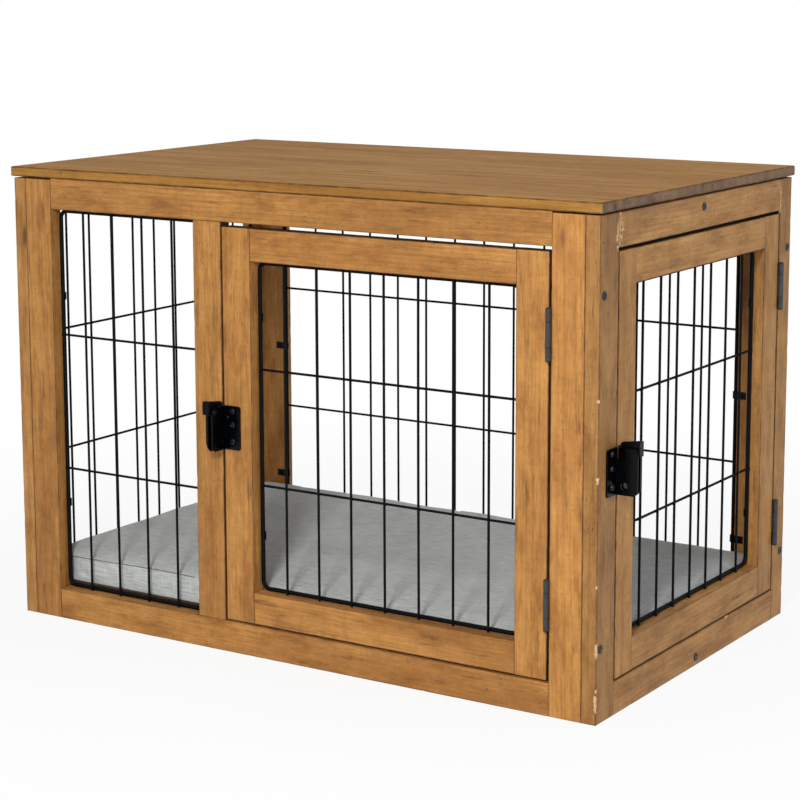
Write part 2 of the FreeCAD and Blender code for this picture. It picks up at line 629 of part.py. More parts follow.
def latch_plate(label, side, latch_x, hand):
    """An angle plate: a leg on the timber and a flange off it. Hand is -1 on the frame and 1 on the door."""
    body = doc.addObject("PartDesign::Body", label)
    inner = "flange_space / 2" if hand > 0 else "-flange_space / 2 - plate_thickness"
    leg_x = inner if hand > 0 else "-flange_space / 2 - plate_thickness - plate_width"
    foot = "-plate_height / 2"
    add(body, "AdditiveBox", label + "_leg", {
        "Length": "plate_width + plate_thickness", "Width": "plate_thickness", "Height": "plate_height"},
        leg_x, "-plate_thickness", foot)
    flange = add(body, "AdditiveBox", label + "_flange", {
        "Length": "plate_thickness", "Width": "plate_stand_out", "Height": "plate_height"},
        inner, "-plate_stand_out", foot)
    half, thick, out = read("plate_height / 2"), read("plate_thickness"), read("plate_stand_out")
    near = hand * read("flange_space / 2")
    mid = near + hand * thick / 2
    corner = dress(body, flange, "Fillet", label + "_corner", "plate_corner", through(mid, -out, half))
    nipped = dress(body, corner, "Chamfer", label + "_chamfer", "plate_chamfer", through(mid, -out, -half))
    bend = dress(body, nipped, "Fillet", label + "_bend", "bend_radius", through(near, 0, 0))
    far = near + hand * (thick + read("plate_width"))
    tests = [through(far, -thick / 2, z) for z in (half, -half)]
    dress(body, bend, "Chamfer", label + "_nips", "plate_nip", lambda edge: any(test(edge) for test in tests))
    add(body, "SubtractiveCylinder", label + "_lock_hole", {
        "Radius": "lock_hole_diameter / 2", "Height": "plate_thickness + 2 * cut_past"},
        f"{inner} - cut_past", "-lock_hole_out", "-lock_hole_drop", ACROSS)
    if hand < 0:
        add(body, "SubtractiveBox", label + "_notch", {
            "Length": "plate_thickness + 2 * cut_past", "Width": "notch_width", "Height": "notch_depth + cut_past"},
            f"{inner} - cut_past", "-plate_thickness - notch_width", "plate_height / 2 - notch_depth")
    else:
        stud = faceted(body, "stud", "stud_diameter", "plate_thickness + stud_height", HEAD_SIDES,
                       f"{inner} + stud_inset", "-plate_thickness - stud_height", "stud_rise", INWARDS)
        face = -read("plate_thickness + stud_height")
        dress(body, stud, "Chamfer", label + "_stud_dome", "stud_dome",
              lambda edge: all(abs(vertex.Y - face) < TOUCH for vertex in edge.Vertexes))
        add(body, "SubtractiveCylinder", label + "_pivot_hole", {
            "Radius": "pivot_diameter / 2 + pivot_play", "Height": "plate_thickness + 2 * cut_past"},
            f"{inner} - cut_past", "-pivot_out", "pivot_rise", ACROSS)
    set_on(body, side, latch_x, "0", "latch_height")
    finish(body, label)


def outline(body, name, corners):
    """A closed outline of straight lines in a body's YZ plane, each corner held by two lengths."""
    sketch = body.newObject("Sketcher::SketchObject", name)
    sketch.AttachmentSupport = (next(f for f in body.Origin.OriginFeatures if f.Role == "YZ_Plane"), "")
    sketch.MapMode = "FlatFace"
    points = [Vector(read(x), read(y), 0) for x, y in corners]
    for start, stop in zip(points, points[1:] + points[:1]):
        sketch.addGeometry(Part.LineSegment(start, stop), False)
    for k, (x, y) in enumerate(corners):
        sketch.addConstraint(Constraint("Coincident", k - 1 if k else len(corners) - 1, 2, k, 1))
        for kind, formula, number in (("DistanceX", x, points[k].x), ("DistanceY", y, points[k].y)):
            index = sketch.addConstraint(Constraint(kind, -1, 1, k, 1, number))
            sketch.setExpression(f"Constraints[{index}]", bound(formula))
    return sketch


def latch_lever(label, side, latch_x):
    """A sheet lever between the flanges: a hook bent over the frame's flange, a boss and a thumb tab."""
    body = doc.addObject("PartDesign::Body", label)
    thumb_head = "pivot_rise - thumb_drop + thumb_height"
    corners = [
        ("-hook_out", "hook_base"),
        ("-hook_out", "hook_base + hook_shoulder"),
        ("-hook_out - hook_width / 2", "hook_base + arm_height"),
        ("thumb_face", thumb_head),
        ("thumb_face", "pivot_rise - thumb_drop"),
        ("-pivot_out", "pivot_rise - boss_diameter / 2"),
        ("-pivot_out + boss_diameter / 2", "pivot_rise"),
        ("-throat_out", "hook_base"),
    ]
    arm = outline(body, label + "_outline", corners)
    arm.setExpression("AttachmentOffset.Base.z", bound("lever_start"))
    pad = body.newObject("PartDesign::Pad", label + "_arm")
    pad.Profile = arm
    pad.setExpression("Length", bound("lever_thickness"))
    add(body, "AdditiveCylinder", label + "_boss", {"Radius": "boss_diameter / 2", "Height": "lever_thickness"},
        "lever_start", "-pivot_out", "pivot_rise", ACROSS)
    add(body, "AdditiveBox", label + "_hook", {
        "Length": "lever_start + lever_thickness + flange_space / 2 + plate_thickness + hook_reach",
        "Width": "hook_width", "Height": "lever_thickness"},
        "-flange_space / 2 - plate_thickness - hook_reach", "-hook_out - hook_width", "hook_base")
    thumb = add(body, "AdditiveBox", label + "_thumb", {
        "Length": "thumb_width", "Width": "lever_thickness", "Height": "thumb_height"},
        "lever_start + lever_thickness - thumb_width", "thumb_face - lever_thickness",
        "pivot_rise - thumb_drop")
    foot = read("pivot_rise - thumb_drop")
    tests = [through(read("lever_start + lever_thickness - thumb_width"), read("thumb_face - lever_thickness / 2"), z)
             for z in (foot, foot + read("thumb_height"))]
    dress(body, thumb, "Chamfer", label + "_thumb_nips", "thumb_nip", lambda edge: any(t(edge) for t in tests))
    add(body, "SubtractiveCylinder", label + "_bore", {
        "Radius": "pivot_diameter / 2 + pivot_play", "Height": "lever_thickness + 2 * cut_past"},
        "lever_start - cut_past", "-pivot_out", "pivot_rise", ACROSS)
    set_on(body, side, latch_x, "0", "latch_height")
    finish(body, label)


def latch_pivot(label, side, latch_x):
    """A rivet through the door's flange that the lever turns on."""
    body = doc.addObject("PartDesign::Body", label)
    flange_far, foot = "flange_space / 2 + plate_thickness", "lever_start - pivot_end_play"
    add(body, "AdditiveCylinder", label + "_shank", {
        "Radius": "pivot_diameter / 2", "Height": f"{flange_far} - ({foot})"}, foot, "-pivot_out", "pivot_rise", ACROSS)
    faceted(body, "foot", "pivot_foot_diameter", "pivot_foot_height", HEAD_SIDES,
            f"{foot} - pivot_foot_height", "-pivot_out", "pivot_rise", ACROSS)
    head = faceted(body, "head", "pivot_head_diameter", "pivot_head_height", HEAD_SIDES,
                   flange_far, "-pivot_out", "pivot_rise", ACROSS)
    top = read(flange_far + " + pivot_head_height")
    dress(body, head, "Chamfer", label + "_dome", "pivot_dome",
          lambda edge: all(abs(vertex.X - top) < TOUCH for vertex in edge.Vertexes))
    set_on(body, side, latch_x, "0", "latch_height")
    finish(body, label)


def latch_screws(label, places_of):
    """Pan-headed screws through the legs of the angle plates."""
    master = doc.getObject("latch_screw")
    if master is None:
        master = doc.addObject("PartDesign::Body", "latch_screw")
        faceted(master, "shank", "latch_screw_diameter", "latch_screw_length", SHANK_SIDES,
                y="-plate_thickness", turn=INWARDS)
        faceted(master, "head", "latch_screw_head_diameter", "latch_screw_head_height", HEAD_SIDES,
                y="-plate_thickness - latch_screw_head_height", turn=INWARDS)
        doc.recompute()
    group(label, master, places_of)


def leg_spots(side, latch_x, hand):
    """The three screw places on an angle plate's leg."""
    x = read(f"{latch_x} + ({hand}) * (flange_space / 2 + plate_thickness + plate_width / 2)")
    return [at(side, x, 0, read("latch_height + " + rise)) for rise in ("latch_screw_low", "latch_screw_mid",
                                                                        "latch_screw_high")]


def make_latch(door, side, latch_x):
    latch_plate(f"{door}_latch_frame_plate", side, latch_x, -1)
    latch_plate(f"{door}_latch_door_plate", side, latch_x, 1)
    latch_lever(f"{door}_latch_lever", side, latch_x)
    latch_pivot(f"{door}_latch_pivot", side, latch_x)
    latch_screws(f"{door}_latch_screws", leg_spots(side, latch_x, 1))


# ---------------------------------------------------------------- the cushion

CORNER_STEPS, SIDE_STEPS = 4, 4
# the top panel's rise over the seam and its distance from it, as shares of the crown and its run
CROWN_STEPS = ((0.55, 0.27), (0.85, 0.6), (1, 1))


def cushion_ring(length, depth, z):
    """The points of an outline with rounded corners and with sides that bow inwards, centred on the z axis."""
    corner, draw = read("cushion_corner"), read("cushion_draw")
    points = []
    for quarter in range(4):
        x, y = (length / 2, depth / 2) if quarter % 2 == 0 else (depth / 2, length / 2)
        spin = Rotation(AXES["z"], 90 * quarter)
        for step in range(SIDE_STEPS):
            along = 2 * step / SIDE_STEPS - 1
            points.append(spin.multVec(Vector(x - draw * (1 - along * along), along * (y - corner), 0)))
        for step in range(CORNER_STEPS):
            angle = math.pi / 2 * step / CORNER_STEPS
            points.append(spin.multVec(Vector(x - corner + corner * math.cos(angle),
                                              y - corner + corner * math.sin(angle), 0)))
    return [point + Vector(0, 0, z) for point in points]


def skin(rings):
    """A solid of flat facets through a stack of outlines that all have as many points."""
    outlines = [rings[0], rings[-1]]
    for low, high in zip(rings, rings[1:]):
        for k, (start, above) in enumerate(zip(low, high)):
            outlines += [[low[k - 1], start, above], [low[k - 1], above, high[k - 1]]]
    faces = [Part.Face(Part.makePolygon(points + points[:1])) for points in outlines]
    return Part.Solid(Part.Shell(faces))


def make_cushion():
    """A boxed cushion: its sides pull in between the corners, roll under at the floor and crown over the seam."""
    length = read("case_length - 2 * (timber + cushion_play)")
    depth = read("case_depth - 2 * (timber + cushion_play)")
    base, roll, seam = read("floor_top"), read("cushion_roll"), read("floor_top + cushion_band")
    bulge, crown, run = read("cushion_bulge"), read("cushion_crown"), read("cushion_crown_run")
    levels = [(base, roll), (base + roll, bulge), ((base + seam) / 2, 0), (seam, bulge)]
    levels += [(seam + crown * rise, run * share) for rise, share in CROWN_STEPS]
    rings = [cushion_ring(length - 2 * inset, depth - 2 * inset, z) for z, inset in levels]
    cushion = doc.addObject("Part::Feature", "cushion")
    cushion.Shape = skin(rings)
    finish(cushion, "cushion")


# ---------------------------------------------------------------- assembly

make_front()
make_back()
make_side("right", True)
make_side("left", False)
make_inner_timber()
make_table_top()
make_panel_screws()

DOORS = (("front_door", "front", "front_opening_start", "front_opening_end", "front_door_head",
          "front_hinge_x", "front_latch_x"),
         ("side_door", "right", "side_opening_start", "side_opening_end", "side_door_head",
          "side_hinge_x", "side_latch_x"))
HINGE = hinge_masters()
for door, side, start, stop, head, hinge_x, latch_x in DOORS:
    make_door(door, side, start, stop, head)
    make_hinges(door, side, hinge_x, head)
    make_latch(door, side, latch_x)

latch_screws("cabin_latch_screws", leg_spots("front", "front_latch_x", -1) + leg_spots("right", "side_latch_x", -1))

# left, right, foot and head of each window in its panel frame
WINDOWS = {
    "front_window": ("window_start", "mullion_start", "rail_width", "front_head"),
    "left_side": ("side_rear_stile_width", "case_depth - side_front_stile_width", "rail_width", "side_head"),
    "back": ("window_start", "panel_end - stile_width", "rail_width", "front_head"),
    "front_door": ("front_opening_start + door_latch_gap + stile_width",
                   "front_opening_end - door_hinge_gap - stile_width",
                   "door_foot + rail_width", "front_door_head - rail_width"),
    "side_door": ("side_opening_start + door_latch_gap + stile_width",
                  "side_opening_end - door_hinge_gap - stile_width",
                  "door_foot + rail_width", "side_door_head - rail_width"),
}
for name, side, pitch, ties in (
        ("front_window", "front", "front_pitch", ("front_tie_low", "front_tie_high")),
        ("left_side", "left", "side_pitch", ("left_tie_low", "left_tie_high")),
        ("back", "back", "front_pitch", ("front_tie_low", "front_tie_high")),
        ("front_door", "front", "front_pitch", ("front_door_tie_low", "front_door_tie_high")),
        ("side_door", "right", "side_pitch", ("side_door_tie_low", "side_door_tie_high"))):
    make_grid(name + "_grid", side, WINDOWS[name], pitch, ties)

pair = ("-clip_rise", "clip_rise")
make_clips("cabin_grid_clips", (("front", WINDOWS["front_window"], pair), ("left", WINDOWS["left_side"], pair),
                                ("back", WINDOWS["back"], ("-back_clip_rise", "0", "back_clip_rise"))))
make_clips("front_door_grid_clips", (("front", WINDOWS["front_door"], pair),))
make_clips("side_door_grid_clips", (("right", WINDOWS["side_door"], pair),))

make_cushion()
doc.recompute()
for piece in doc.Objects:
    if "Invalid" in piece.State or "Error" in piece.State:
        raise RuntimeError(f"{piece.Name} has failed: {piece.State}")
for piece in finished:
    if piece.Shape.isNull() or not piece.Shape.isValid():
        raise RuntimeError(f"{piece.Label} has no valid shape")
    piece.Shape.exportStep(f"parts/{piece.Label}.step")
    print(piece.Label, len(piece.Shape.Solids), round(piece.Shape.Volume))
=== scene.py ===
"""Looks for the dog crate end table: stained timber, black wire, dark hinges and latches, a woven cushion.

Lengths in the helpers are millimetres in a panel's frame: x to the right as it is seen from outside,
y inwards from its outer face, z up from the floor.
"""
import bpy
import bmesh
import random
from math import atan2, copysign, cos, hypot, pi, radians, sin, sqrt
from mathutils import Matrix, Vector, noise


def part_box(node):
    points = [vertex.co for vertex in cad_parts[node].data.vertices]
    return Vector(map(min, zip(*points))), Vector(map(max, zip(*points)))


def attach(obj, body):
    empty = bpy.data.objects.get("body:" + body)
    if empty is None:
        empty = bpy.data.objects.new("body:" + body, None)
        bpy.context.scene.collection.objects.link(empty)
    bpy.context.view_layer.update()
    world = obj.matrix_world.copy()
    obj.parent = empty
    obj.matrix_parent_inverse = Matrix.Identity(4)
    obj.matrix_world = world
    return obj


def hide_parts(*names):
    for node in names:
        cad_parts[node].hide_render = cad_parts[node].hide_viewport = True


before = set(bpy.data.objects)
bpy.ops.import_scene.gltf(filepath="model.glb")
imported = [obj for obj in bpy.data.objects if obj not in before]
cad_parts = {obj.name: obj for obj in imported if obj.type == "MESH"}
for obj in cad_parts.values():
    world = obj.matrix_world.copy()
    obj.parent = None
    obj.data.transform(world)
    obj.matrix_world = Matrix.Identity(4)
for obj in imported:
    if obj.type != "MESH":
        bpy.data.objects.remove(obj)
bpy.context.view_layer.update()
scene = bpy.context.scene

MM = 0.001
LENGTH, DEPTH, TIMBER = 811, 498, 18
STILE, RAIL = 40, 38
ROD, WIRE = 5.0, 3.0
ROD_INSET = ROD / 2 + 0.4            # a grid's rod from the edge of its window, to the rod's middle
ROD_DEPTH = TIMBER - 0.2 - ROD / 2   # and from the panel's outer face


def at(x, y, z):
    return Matrix.Translation((x, y, z))


def turned(degrees, axis):
    return Matrix.Rotation(radians(degrees), 4, axis)


def panel(side):
    """The place of a panel's own frame."""
    corner = {"front": (-1, -1, 0), "right": (1, -1, 90), "back": (1, 1, 180), "left": (-1, 1, 270)}[side]
    place = Matrix.Translation(Vector((corner[0] * LENGTH, corner[1] * DEPTH, 0)) * MM / 2)
    return place @ turned(corner[2], "Z") @ Matrix.Scale(MM, 4)


# -------------------- camera and light

def look(location, yaw, pitch, roll, lens, shift):
    data = bpy.data.cameras.new("camera")
    data.sensor_width, data.lens, data.shift_y = 36, lens, shift
    data.clip_start, data.clip_end = 0.05, 60
    camera = bpy.data.objects.new("camera", data)
    scene.collection.objects.link(camera)
    spin = turned(-yaw, "Z") @ turned(90 - pitch, "X")
    camera.matrix_world = Matrix.Translation(location) @ spin @ turned(roll, "Z")
    scene.camera = camera


look((1.4662, -2.2777, 0.8059), -32.82, 9.08, -0.16, 99.86, -0.1)


def area(name, location, target, size, power, colour=(1, 1, 1)):
    data = bpy.data.lights.new(name, "AREA")
    data.shape, data.size, data.size_y = "RECTANGLE", size[0], size[1]
    data.energy, data.color = power, colour
    lamp = bpy.data.objects.new(name, data)
    scene.collection.objects.link(lamp)
    lamp.location = location
    lamp.rotation_euler = (Vector(target) - Vector(location)).to_track_quat("-Z", "Y").to_euler()


area("key", (0.85, -2.15, 1.45), (0.1, 0, 0.25), (0.32, 0.32), 36.5)
area("front_fill", (-0.2, -2.9, 0.8), (0, 0, 0.25), (1.8, 1.4), 4.5)
area("side_fill", (2.3, 0.5, 0.9), (0.3, 0, 0.25), (1.4, 1.4), 10, (0.66, 0.80, 1.0))
area("top_fill", (0.2, 0.3, 2.6), (0, 0, 0.5), (1.8, 1.4), 11)


# -------------------- node trees in short

class Shader:
    """Makes the nodes of one material or world."""

    def __init__(self, holder):
        holder.use_nodes = True
        self.material, self.tree = holder, holder.node_tree
        self.tree.nodes.clear()

    def add(self, kind, values=None, **settings):
        node = self.tree.nodes.new("ShaderNode" + kind)
        for key, value in settings.items():
            setattr(node, key, value)
        for key, value in (values or {}).items():
            if isinstance(value, bpy.types.NodeSocket):
                self.tree.links.new(value, node.inputs[key])
            else:
                node.inputs[key].default_value = value
        return node

    def math(self, operation, a, b=0.0):
        return self.add("Math", {0: a, 1: b}, operation=operation).outputs[0]

    def times(self, a, b):
        return self.math("MULTIPLY", a, b)

    def vector(self, operation, a, b):
        return self.add("VectorMath", {0: a, 1: b}, operation=operation).outputs[0]

    def mix(self, a, b, factor, blend="MIX"):
        return self.add("Mix", {0: factor, 6: a, 7: b}, data_type="RGBA", blend_type=blend).outputs[2]

    def over(self, base, tint, mask, amount):
        """The base with a tint laid over it by a mask."""
        return self.mix(base, tint, self.times(mask, amount))

    def noise(self, vector, scale=1.0, detail=2.0, rough=0.5):
        values = {"Vector": vector, "Scale": scale, "Detail": detail, "Roughness": rough}
        return self.add("TexNoise", values).outputs[0]

    def band(self, value, low, high, start=0.0, stop=1.0):
        """The value spread from low..high to start..stop, held at its ends."""
        return self.add("MapRange", {0: value, 1: low, 2: high, 3: start, 4: stop}, clamp=True).outputs[0]

    def surface(self, values, bump=None, strength=1.0, distance=0.0005):
        if bump is not None:
            values["Normal"] = self.add("Bump", {"Strength": strength, "Distance": distance,
                                                 "Height": bump}).outputs[0]
        shader = self.add("BsdfPrincipled", values)
        output = self.add("OutputMaterial")
        self.tree.links.new(shader.outputs[0], output.inputs[0])
        return self.material


def colour(red, green, blue):
    """A colour as it is seen on a screen, 0 to 255, in the linear values that a shader takes."""
    def linear(v):
        v /= 255
        return v / 12.92 if v <= 0.04045 else ((v + 0.055) / 1.055) ** 2.4
    return (linear(red), linear(green), linear(blue), 1)


# -------------------- materials

def wood(name, pale, body, deep, dark, figure=1.0, roughness=0.52, lines=1.0, shine=0.3, stretch=1.0):
    """Stained softwood. The grain attribute is the place in the board in metres, x along the grain; a colour
    attribute holds how near an arris is, bare chips, the board's tone, partly painted light on some pieces,
    and painted shade on a face that looks into a gap."""
    s = Shader(bpy.data.materials.new(name))
    pale, body, deep, dark = (colour(*shade) for shade in (pale, body, deep, dark))
    grain = s.add("Attribute", attribute_name="grain").outputs["Vector"]
    wear_and_gap_shade = s.add("Attribute", attribute_name="wear_and_gap_shade").outputs
    arris, chip, tone_and_light = s.add("SeparateColor", {0: wear_and_gap_shade["Color"]}).outputs
    # the alpha: painted shade on a face that looks into a gap
    gap_shade = wear_and_gap_shade["Alpha"]

    def along(length, across, detail=2.0, rough=0.5):
        """Noise with features of the given length and width in millimetres."""
        place = s.vector("MULTIPLY", grain, (1000 / length, 1000 / across, 1000 / across))
        return s.noise(place, 1.0, detail, rough)

    slow = along(300, 70)
    cloud = along(62 * stretch, 20 / sqrt(stretch), 5, 0.62)
    streak = along(240 * stretch, 3.4, 4, 0.62)
    fibre = along(38 * stretch, 1.3, 3, 0.65)
    hair = along(13 * stretch, 0.8)
    ripple = along(6 * stretch, 30, 3, 0.55)
    clusters = along(80, 26, 3, 0.6)
    flecks = s.times(s.band(along(4.5, 1.5), 0.63, 0.73), s.band(clusters, 0.44, 0.62))
    mottle = s.math("ADD", along(17, 10, 4, 0.6), s.times(along(5, 4), 0.4))
    stains = s.times(s.band(along(60, 7, 5, 0.7), 0.55, 0.72), s.band(clusters, 0.62, 0.46))
    # annual rings: nearly flat layers across the board that wander with its length
    drift = s.times(along(420, 75), 34.0)
    across = s.add("SeparateXYZ", {0: grain}).outputs
    layer = s.math("ADD", s.times(across[1], 620.0), s.times(across[2], 1150.0))
    latewood = s.band(s.math("SINE", s.math("ADD", layer, drift)), 0.35, 0.98)

    base = s.mix(pale, body, s.band(cloud, 0.36, 0.60))
    base = s.over(base, deep, s.band(cloud, 0.54, 0.72), 0.60 * figure)
    base = s.over(base, deep, s.band(streak, 0.48, 0.68), 0.36 * figure)
    base = s.over(base, deep, latewood, 0.22 * lines)
    base = s.over(base, deep, s.band(slow, 0.46, 0.70), 0.50)
    base = s.over(base, dark, stains, 0.60 * figure)
    base = s.over(base, dark, flecks, 0.75)
    shade = s.math("ADD", s.band(fibre, 0.34, 0.66, 0.89, 1.09), s.band(ripple, 0.35, 0.7, 0.04, -0.05))
    shade = s.math("ADD", shade, s.band(hair, 0.32, 0.68, -0.07, 0.07))
    shade = s.math("ADD", shade, s.band(mottle, 0.52, 0.88, -0.09, 0.09))
    shade = s.times(shade, s.band(tone_and_light, 0.0, 1.0, 0.84, 1.14))
    base = s.mix(base, s.add("CombineColor", {0: shade, 1: shade, 2: shade}).outputs[0], 1.0, "MULTIPLY")
    # knots: small eyes of darker, turned grain, thinly spread
    cells = s.add("TexVoronoi", {"Vector": s.vector("MULTIPLY", grain, (7.5, 26.0, 26.0)), "Scale": 1.0,
                                 "Randomness": 1.0}).outputs
    picked = s.band(s.add("SeparateColor", {0: cells["Color"]}).outputs[0], 0.84, 0.86)
    wobble = s.math("ADD", cells["Distance"], s.times(s.math("SUBTRACT", cloud, 0.5), 0.10))
    base = s.over(base, deep, s.times(s.band(wobble, 0.30, 0.10), picked), 0.50)
    base = s.over(base, dark, s.times(s.band(wobble, 0.13, 0.05), picked), 0.70)
    # the stain gathers on arrises and is knocked off in places, and a face in a gap gets painted shade
    rub = s.band(along(16, 16, 3), 0.35, 0.65, 0.45, 1.0)
    base = s.over(base, dark, s.times(arris, rub), 0.85)
    base = s.over(base, dark, gap_shade, s.band(along(14, 7, 3), 0.3, 0.7, 0.42, 0.58))
    bare = s.band(s.math("ADD", along(2.6, 5.0, 4, 0.7), s.times(chip, 0.31)), 0.66, 0.71)
    base = s.over(base, colour(214, 176, 128), bare, s.band(chip, 0.04, 0.12))
    gloss = s.band(s.math("ADD", fibre, s.times(cloud, 0.6)), 0.5, 1.1, roughness - 0.06,
                   roughness + 0.10)
    height = s.math("ADD", s.times(fibre, 0.6), s.times(flecks, -0.5))
    height = s.math("ADD", height, s.times(streak, 0.5))
    values = {"Base Color": base, "Roughness": gloss, "Specular IOR Level": shine}
    return s.surface(values, height, 0.5, 0.0004)


def powder(name, shade, roughness, grain_size=0.7, depth=0.00006, dust=0.35, shine=0.5):
    """Baked paint on steel: a fine pebbled skin, a little uneven, with dust and rubs that show paler."""
    s = Shader(bpy.data.materials.new(name))
    place = s.add("TexCoord").outputs["Object"]
    pebbles = s.noise(place, 1000 / grain_size, 3, 0.55)
    patches = s.noise(place, 55, 4, 0.6)
    specks = s.band(s.noise(place, 900, 2, 0.5), 0.66, 0.74)
    dusty = colour(*[v * 1.7 + 8 for v in shade])
    base = s.mix(colour(*shade), dusty, s.band(patches, 0.45, 0.75, 0.0, dust))
    base = s.over(base, colour(96, 98, 102), specks, 0.18 * dust)
    gloss = s.band(patches, 0.3, 0.7, roughness - 0.07, roughness + 0.09)
    values = {"Base Color": base, "Roughness": gloss, "Specular IOR Level": shine}
    return s.surface(values, pebbles, 0.6, depth)


def linen(name, shadow=0.0):
    """A heathered plain weave, its slubs running along the crate."""
    s = Shader(bpy.data.materials.new(name))
    place = s.add("Attribute", attribute_name="cloth").outputs["Vector"]
    parts = s.add("SeparateXYZ", {0: place})
    wander = s.times(s.noise(place, 60, 2), 1.6)
    weft = s.math("SINE", s.math("ADD", s.times(parts.outputs[1], 2 * pi / 0.00115), wander))
    warp = s.math("SINE", s.math("ADD", s.times(parts.outputs[0], 2 * pi / 0.0010), wander))
    over = s.band(s.times(weft, warp), -0.4, 0.4)
    threads = s.math("MAXIMUM", s.times(s.math("ABSOLUTE", weft), over),
                     s.times(s.math("ABSOLUTE", warp), s.math("SUBTRACT", 1.0, over)))
    slub = s.noise(s.vector("MULTIPLY", place, (38.0, 520.0, 520.0)), 1.0, 4, 0.65)
    thick = s.noise(s.vector("MULTIPLY", place, (420.0, 46.0, 300.0)), 1.0, 3, 0.6)
    heather = s.noise(s.vector("MULTIPLY", place, (240.0, 900.0, 900.0)), 1.0, 3, 0.6)
    tint = s.mix(colour(208, 212, 208), colour(163, 168, 166), s.band(slub, 0.40, 0.66))
    tint = s.over(tint, colour(232, 233, 230), s.band(thick, 0.52, 0.74), 0.5)
    tint = s.over(tint, colour(132, 137, 136), s.band(heather, 0.54, 0.74), 0.6)
    tint = s.over(tint, colour(222, 222, 216), s.band(s.noise(place, 9, 3), 0.42, 0.68), 0.3)
    tint = s.over(tint, colour(118, 122, 122), s.band(threads, 0.35, 0.0), 0.40)
    tint = s.mix(tint, colour(58, 62, 62), shadow)
    height = s.math("ADD", s.times(threads, 0.6), s.times(slub, 0.6))
    return s.surface({"Base Color": tint, "Roughness": s.band(slub, 0.3, 0.7, 0.86, 0.96),
                      "Specular IOR Level": 0.2, "Sheen Weight": 0.18, "Sheen Roughness": 0.5},
                     height, 0.55, 0.0004)


FRONT_WOOD = wood("front_wood", (194, 138, 72), (174, 119, 57), (136, 86, 38), (44, 26, 14))
SIDE_WOOD = wood("side_wood", (190, 138, 76), (170, 119, 61), (133, 87, 41), (44, 28, 18))
TOP_WOOD = wood("top_wood", (172, 126, 64), (154, 108, 50), (124, 82, 35), (48, 31, 18),
                figure=0.6, roughness=0.6, lines=0.7, shine=0.10, stretch=2.8)
END_WOOD = wood("end_wood", (140, 106, 72), (120, 88, 58), (88, 62, 44), (40, 28, 24))
FLOOR_WOOD = wood("floor_wood", (92, 56, 30), (74, 42, 22), (54, 30, 16), (28, 16, 10))
WIRE_PAINT = powder("wire_paint", (2, 3, 4), 0.6, dust=0.2, shine=0.12)
HINGE_PAINT = powder("hinge_paint", (40, 42, 43), 0.46)
LATCH_PAINT = powder("latch_paint", (1, 2, 5), 0.22, 0.9, 0.00004, 0.12, 0.13)
SCREW_PAINT = powder("screw_paint", (10, 12, 16), 0.30, shine=0.4)
LINEN = linen("linen")
LINEN_FOLD = linen("linen_fold", 0.72)


# -------------------- meshes in short

def make(name, vertices, faces, material, body, replaces=(), place=None, angle=35,
         attributes=None):
    """One mesh piece of the object. Attributes: name to (kind, flat values on the points)."""
    mesh = bpy.data.meshes.new(name)
    mesh.from_pydata([tuple(v) for v in vertices], [], faces)
    if place is not None:
        mesh.transform(place)
    for key, (kind, values) in (attributes or {}).items():
        layer = mesh.attributes.new(key, kind, "POINT")
        layer.data.foreach_set("vector" if kind == "FLOAT_VECTOR" else "color", values)
    piece = bpy.data.objects.new(name, mesh)
    scene.collection.objects.link(piece)
    return settle(piece, material, body, replaces, angle)


def settle(piece, material, body, replaces=(), angle=35):
    mesh = piece.data
    work = bmesh.new()
    work.from_mesh(mesh)
    bmesh.ops.recalc_face_normals(work, faces=work.faces)
    work.to_mesh(mesh)
    work.free()
    mesh.materials.clear()
    for one in material if isinstance(material, (list, tuple)) else [material]:
        mesh.materials.append(one)
    mesh.shade_smooth()
    mesh.set_sharp_from_angle(angle=radians(angle))
    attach(piece, body)
    if replaces:
        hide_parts(*replaces)
    return piece


def turns(sides):
    """The angles of evenly spaced points round a circle."""
    return [2 * pi * k / sides for k in range(sides)]


def hoop(radius, z, sides, spin=0.0):
    return [(radius * cos(turn + spin), radius * sin(turn + spin), z) for turn in turns(sides)]


def ring_faces(rows, sides, closed=False):
    """Faces over rings of points, numbered ring after ring: capped, or closed from the last to the first."""
    faces = []
    for row in range(rows if closed else rows - 1):
        here, after = row * sides, (row + 1) % rows * sides
        for k in range(sides):
            m = (k + 1) % sides
            faces.append([here + k, here + m, after + m, after + k])
    if not closed:
        faces += [list(range(sides)), list(range((rows - 1) * sides, rows * sides))]
    return faces


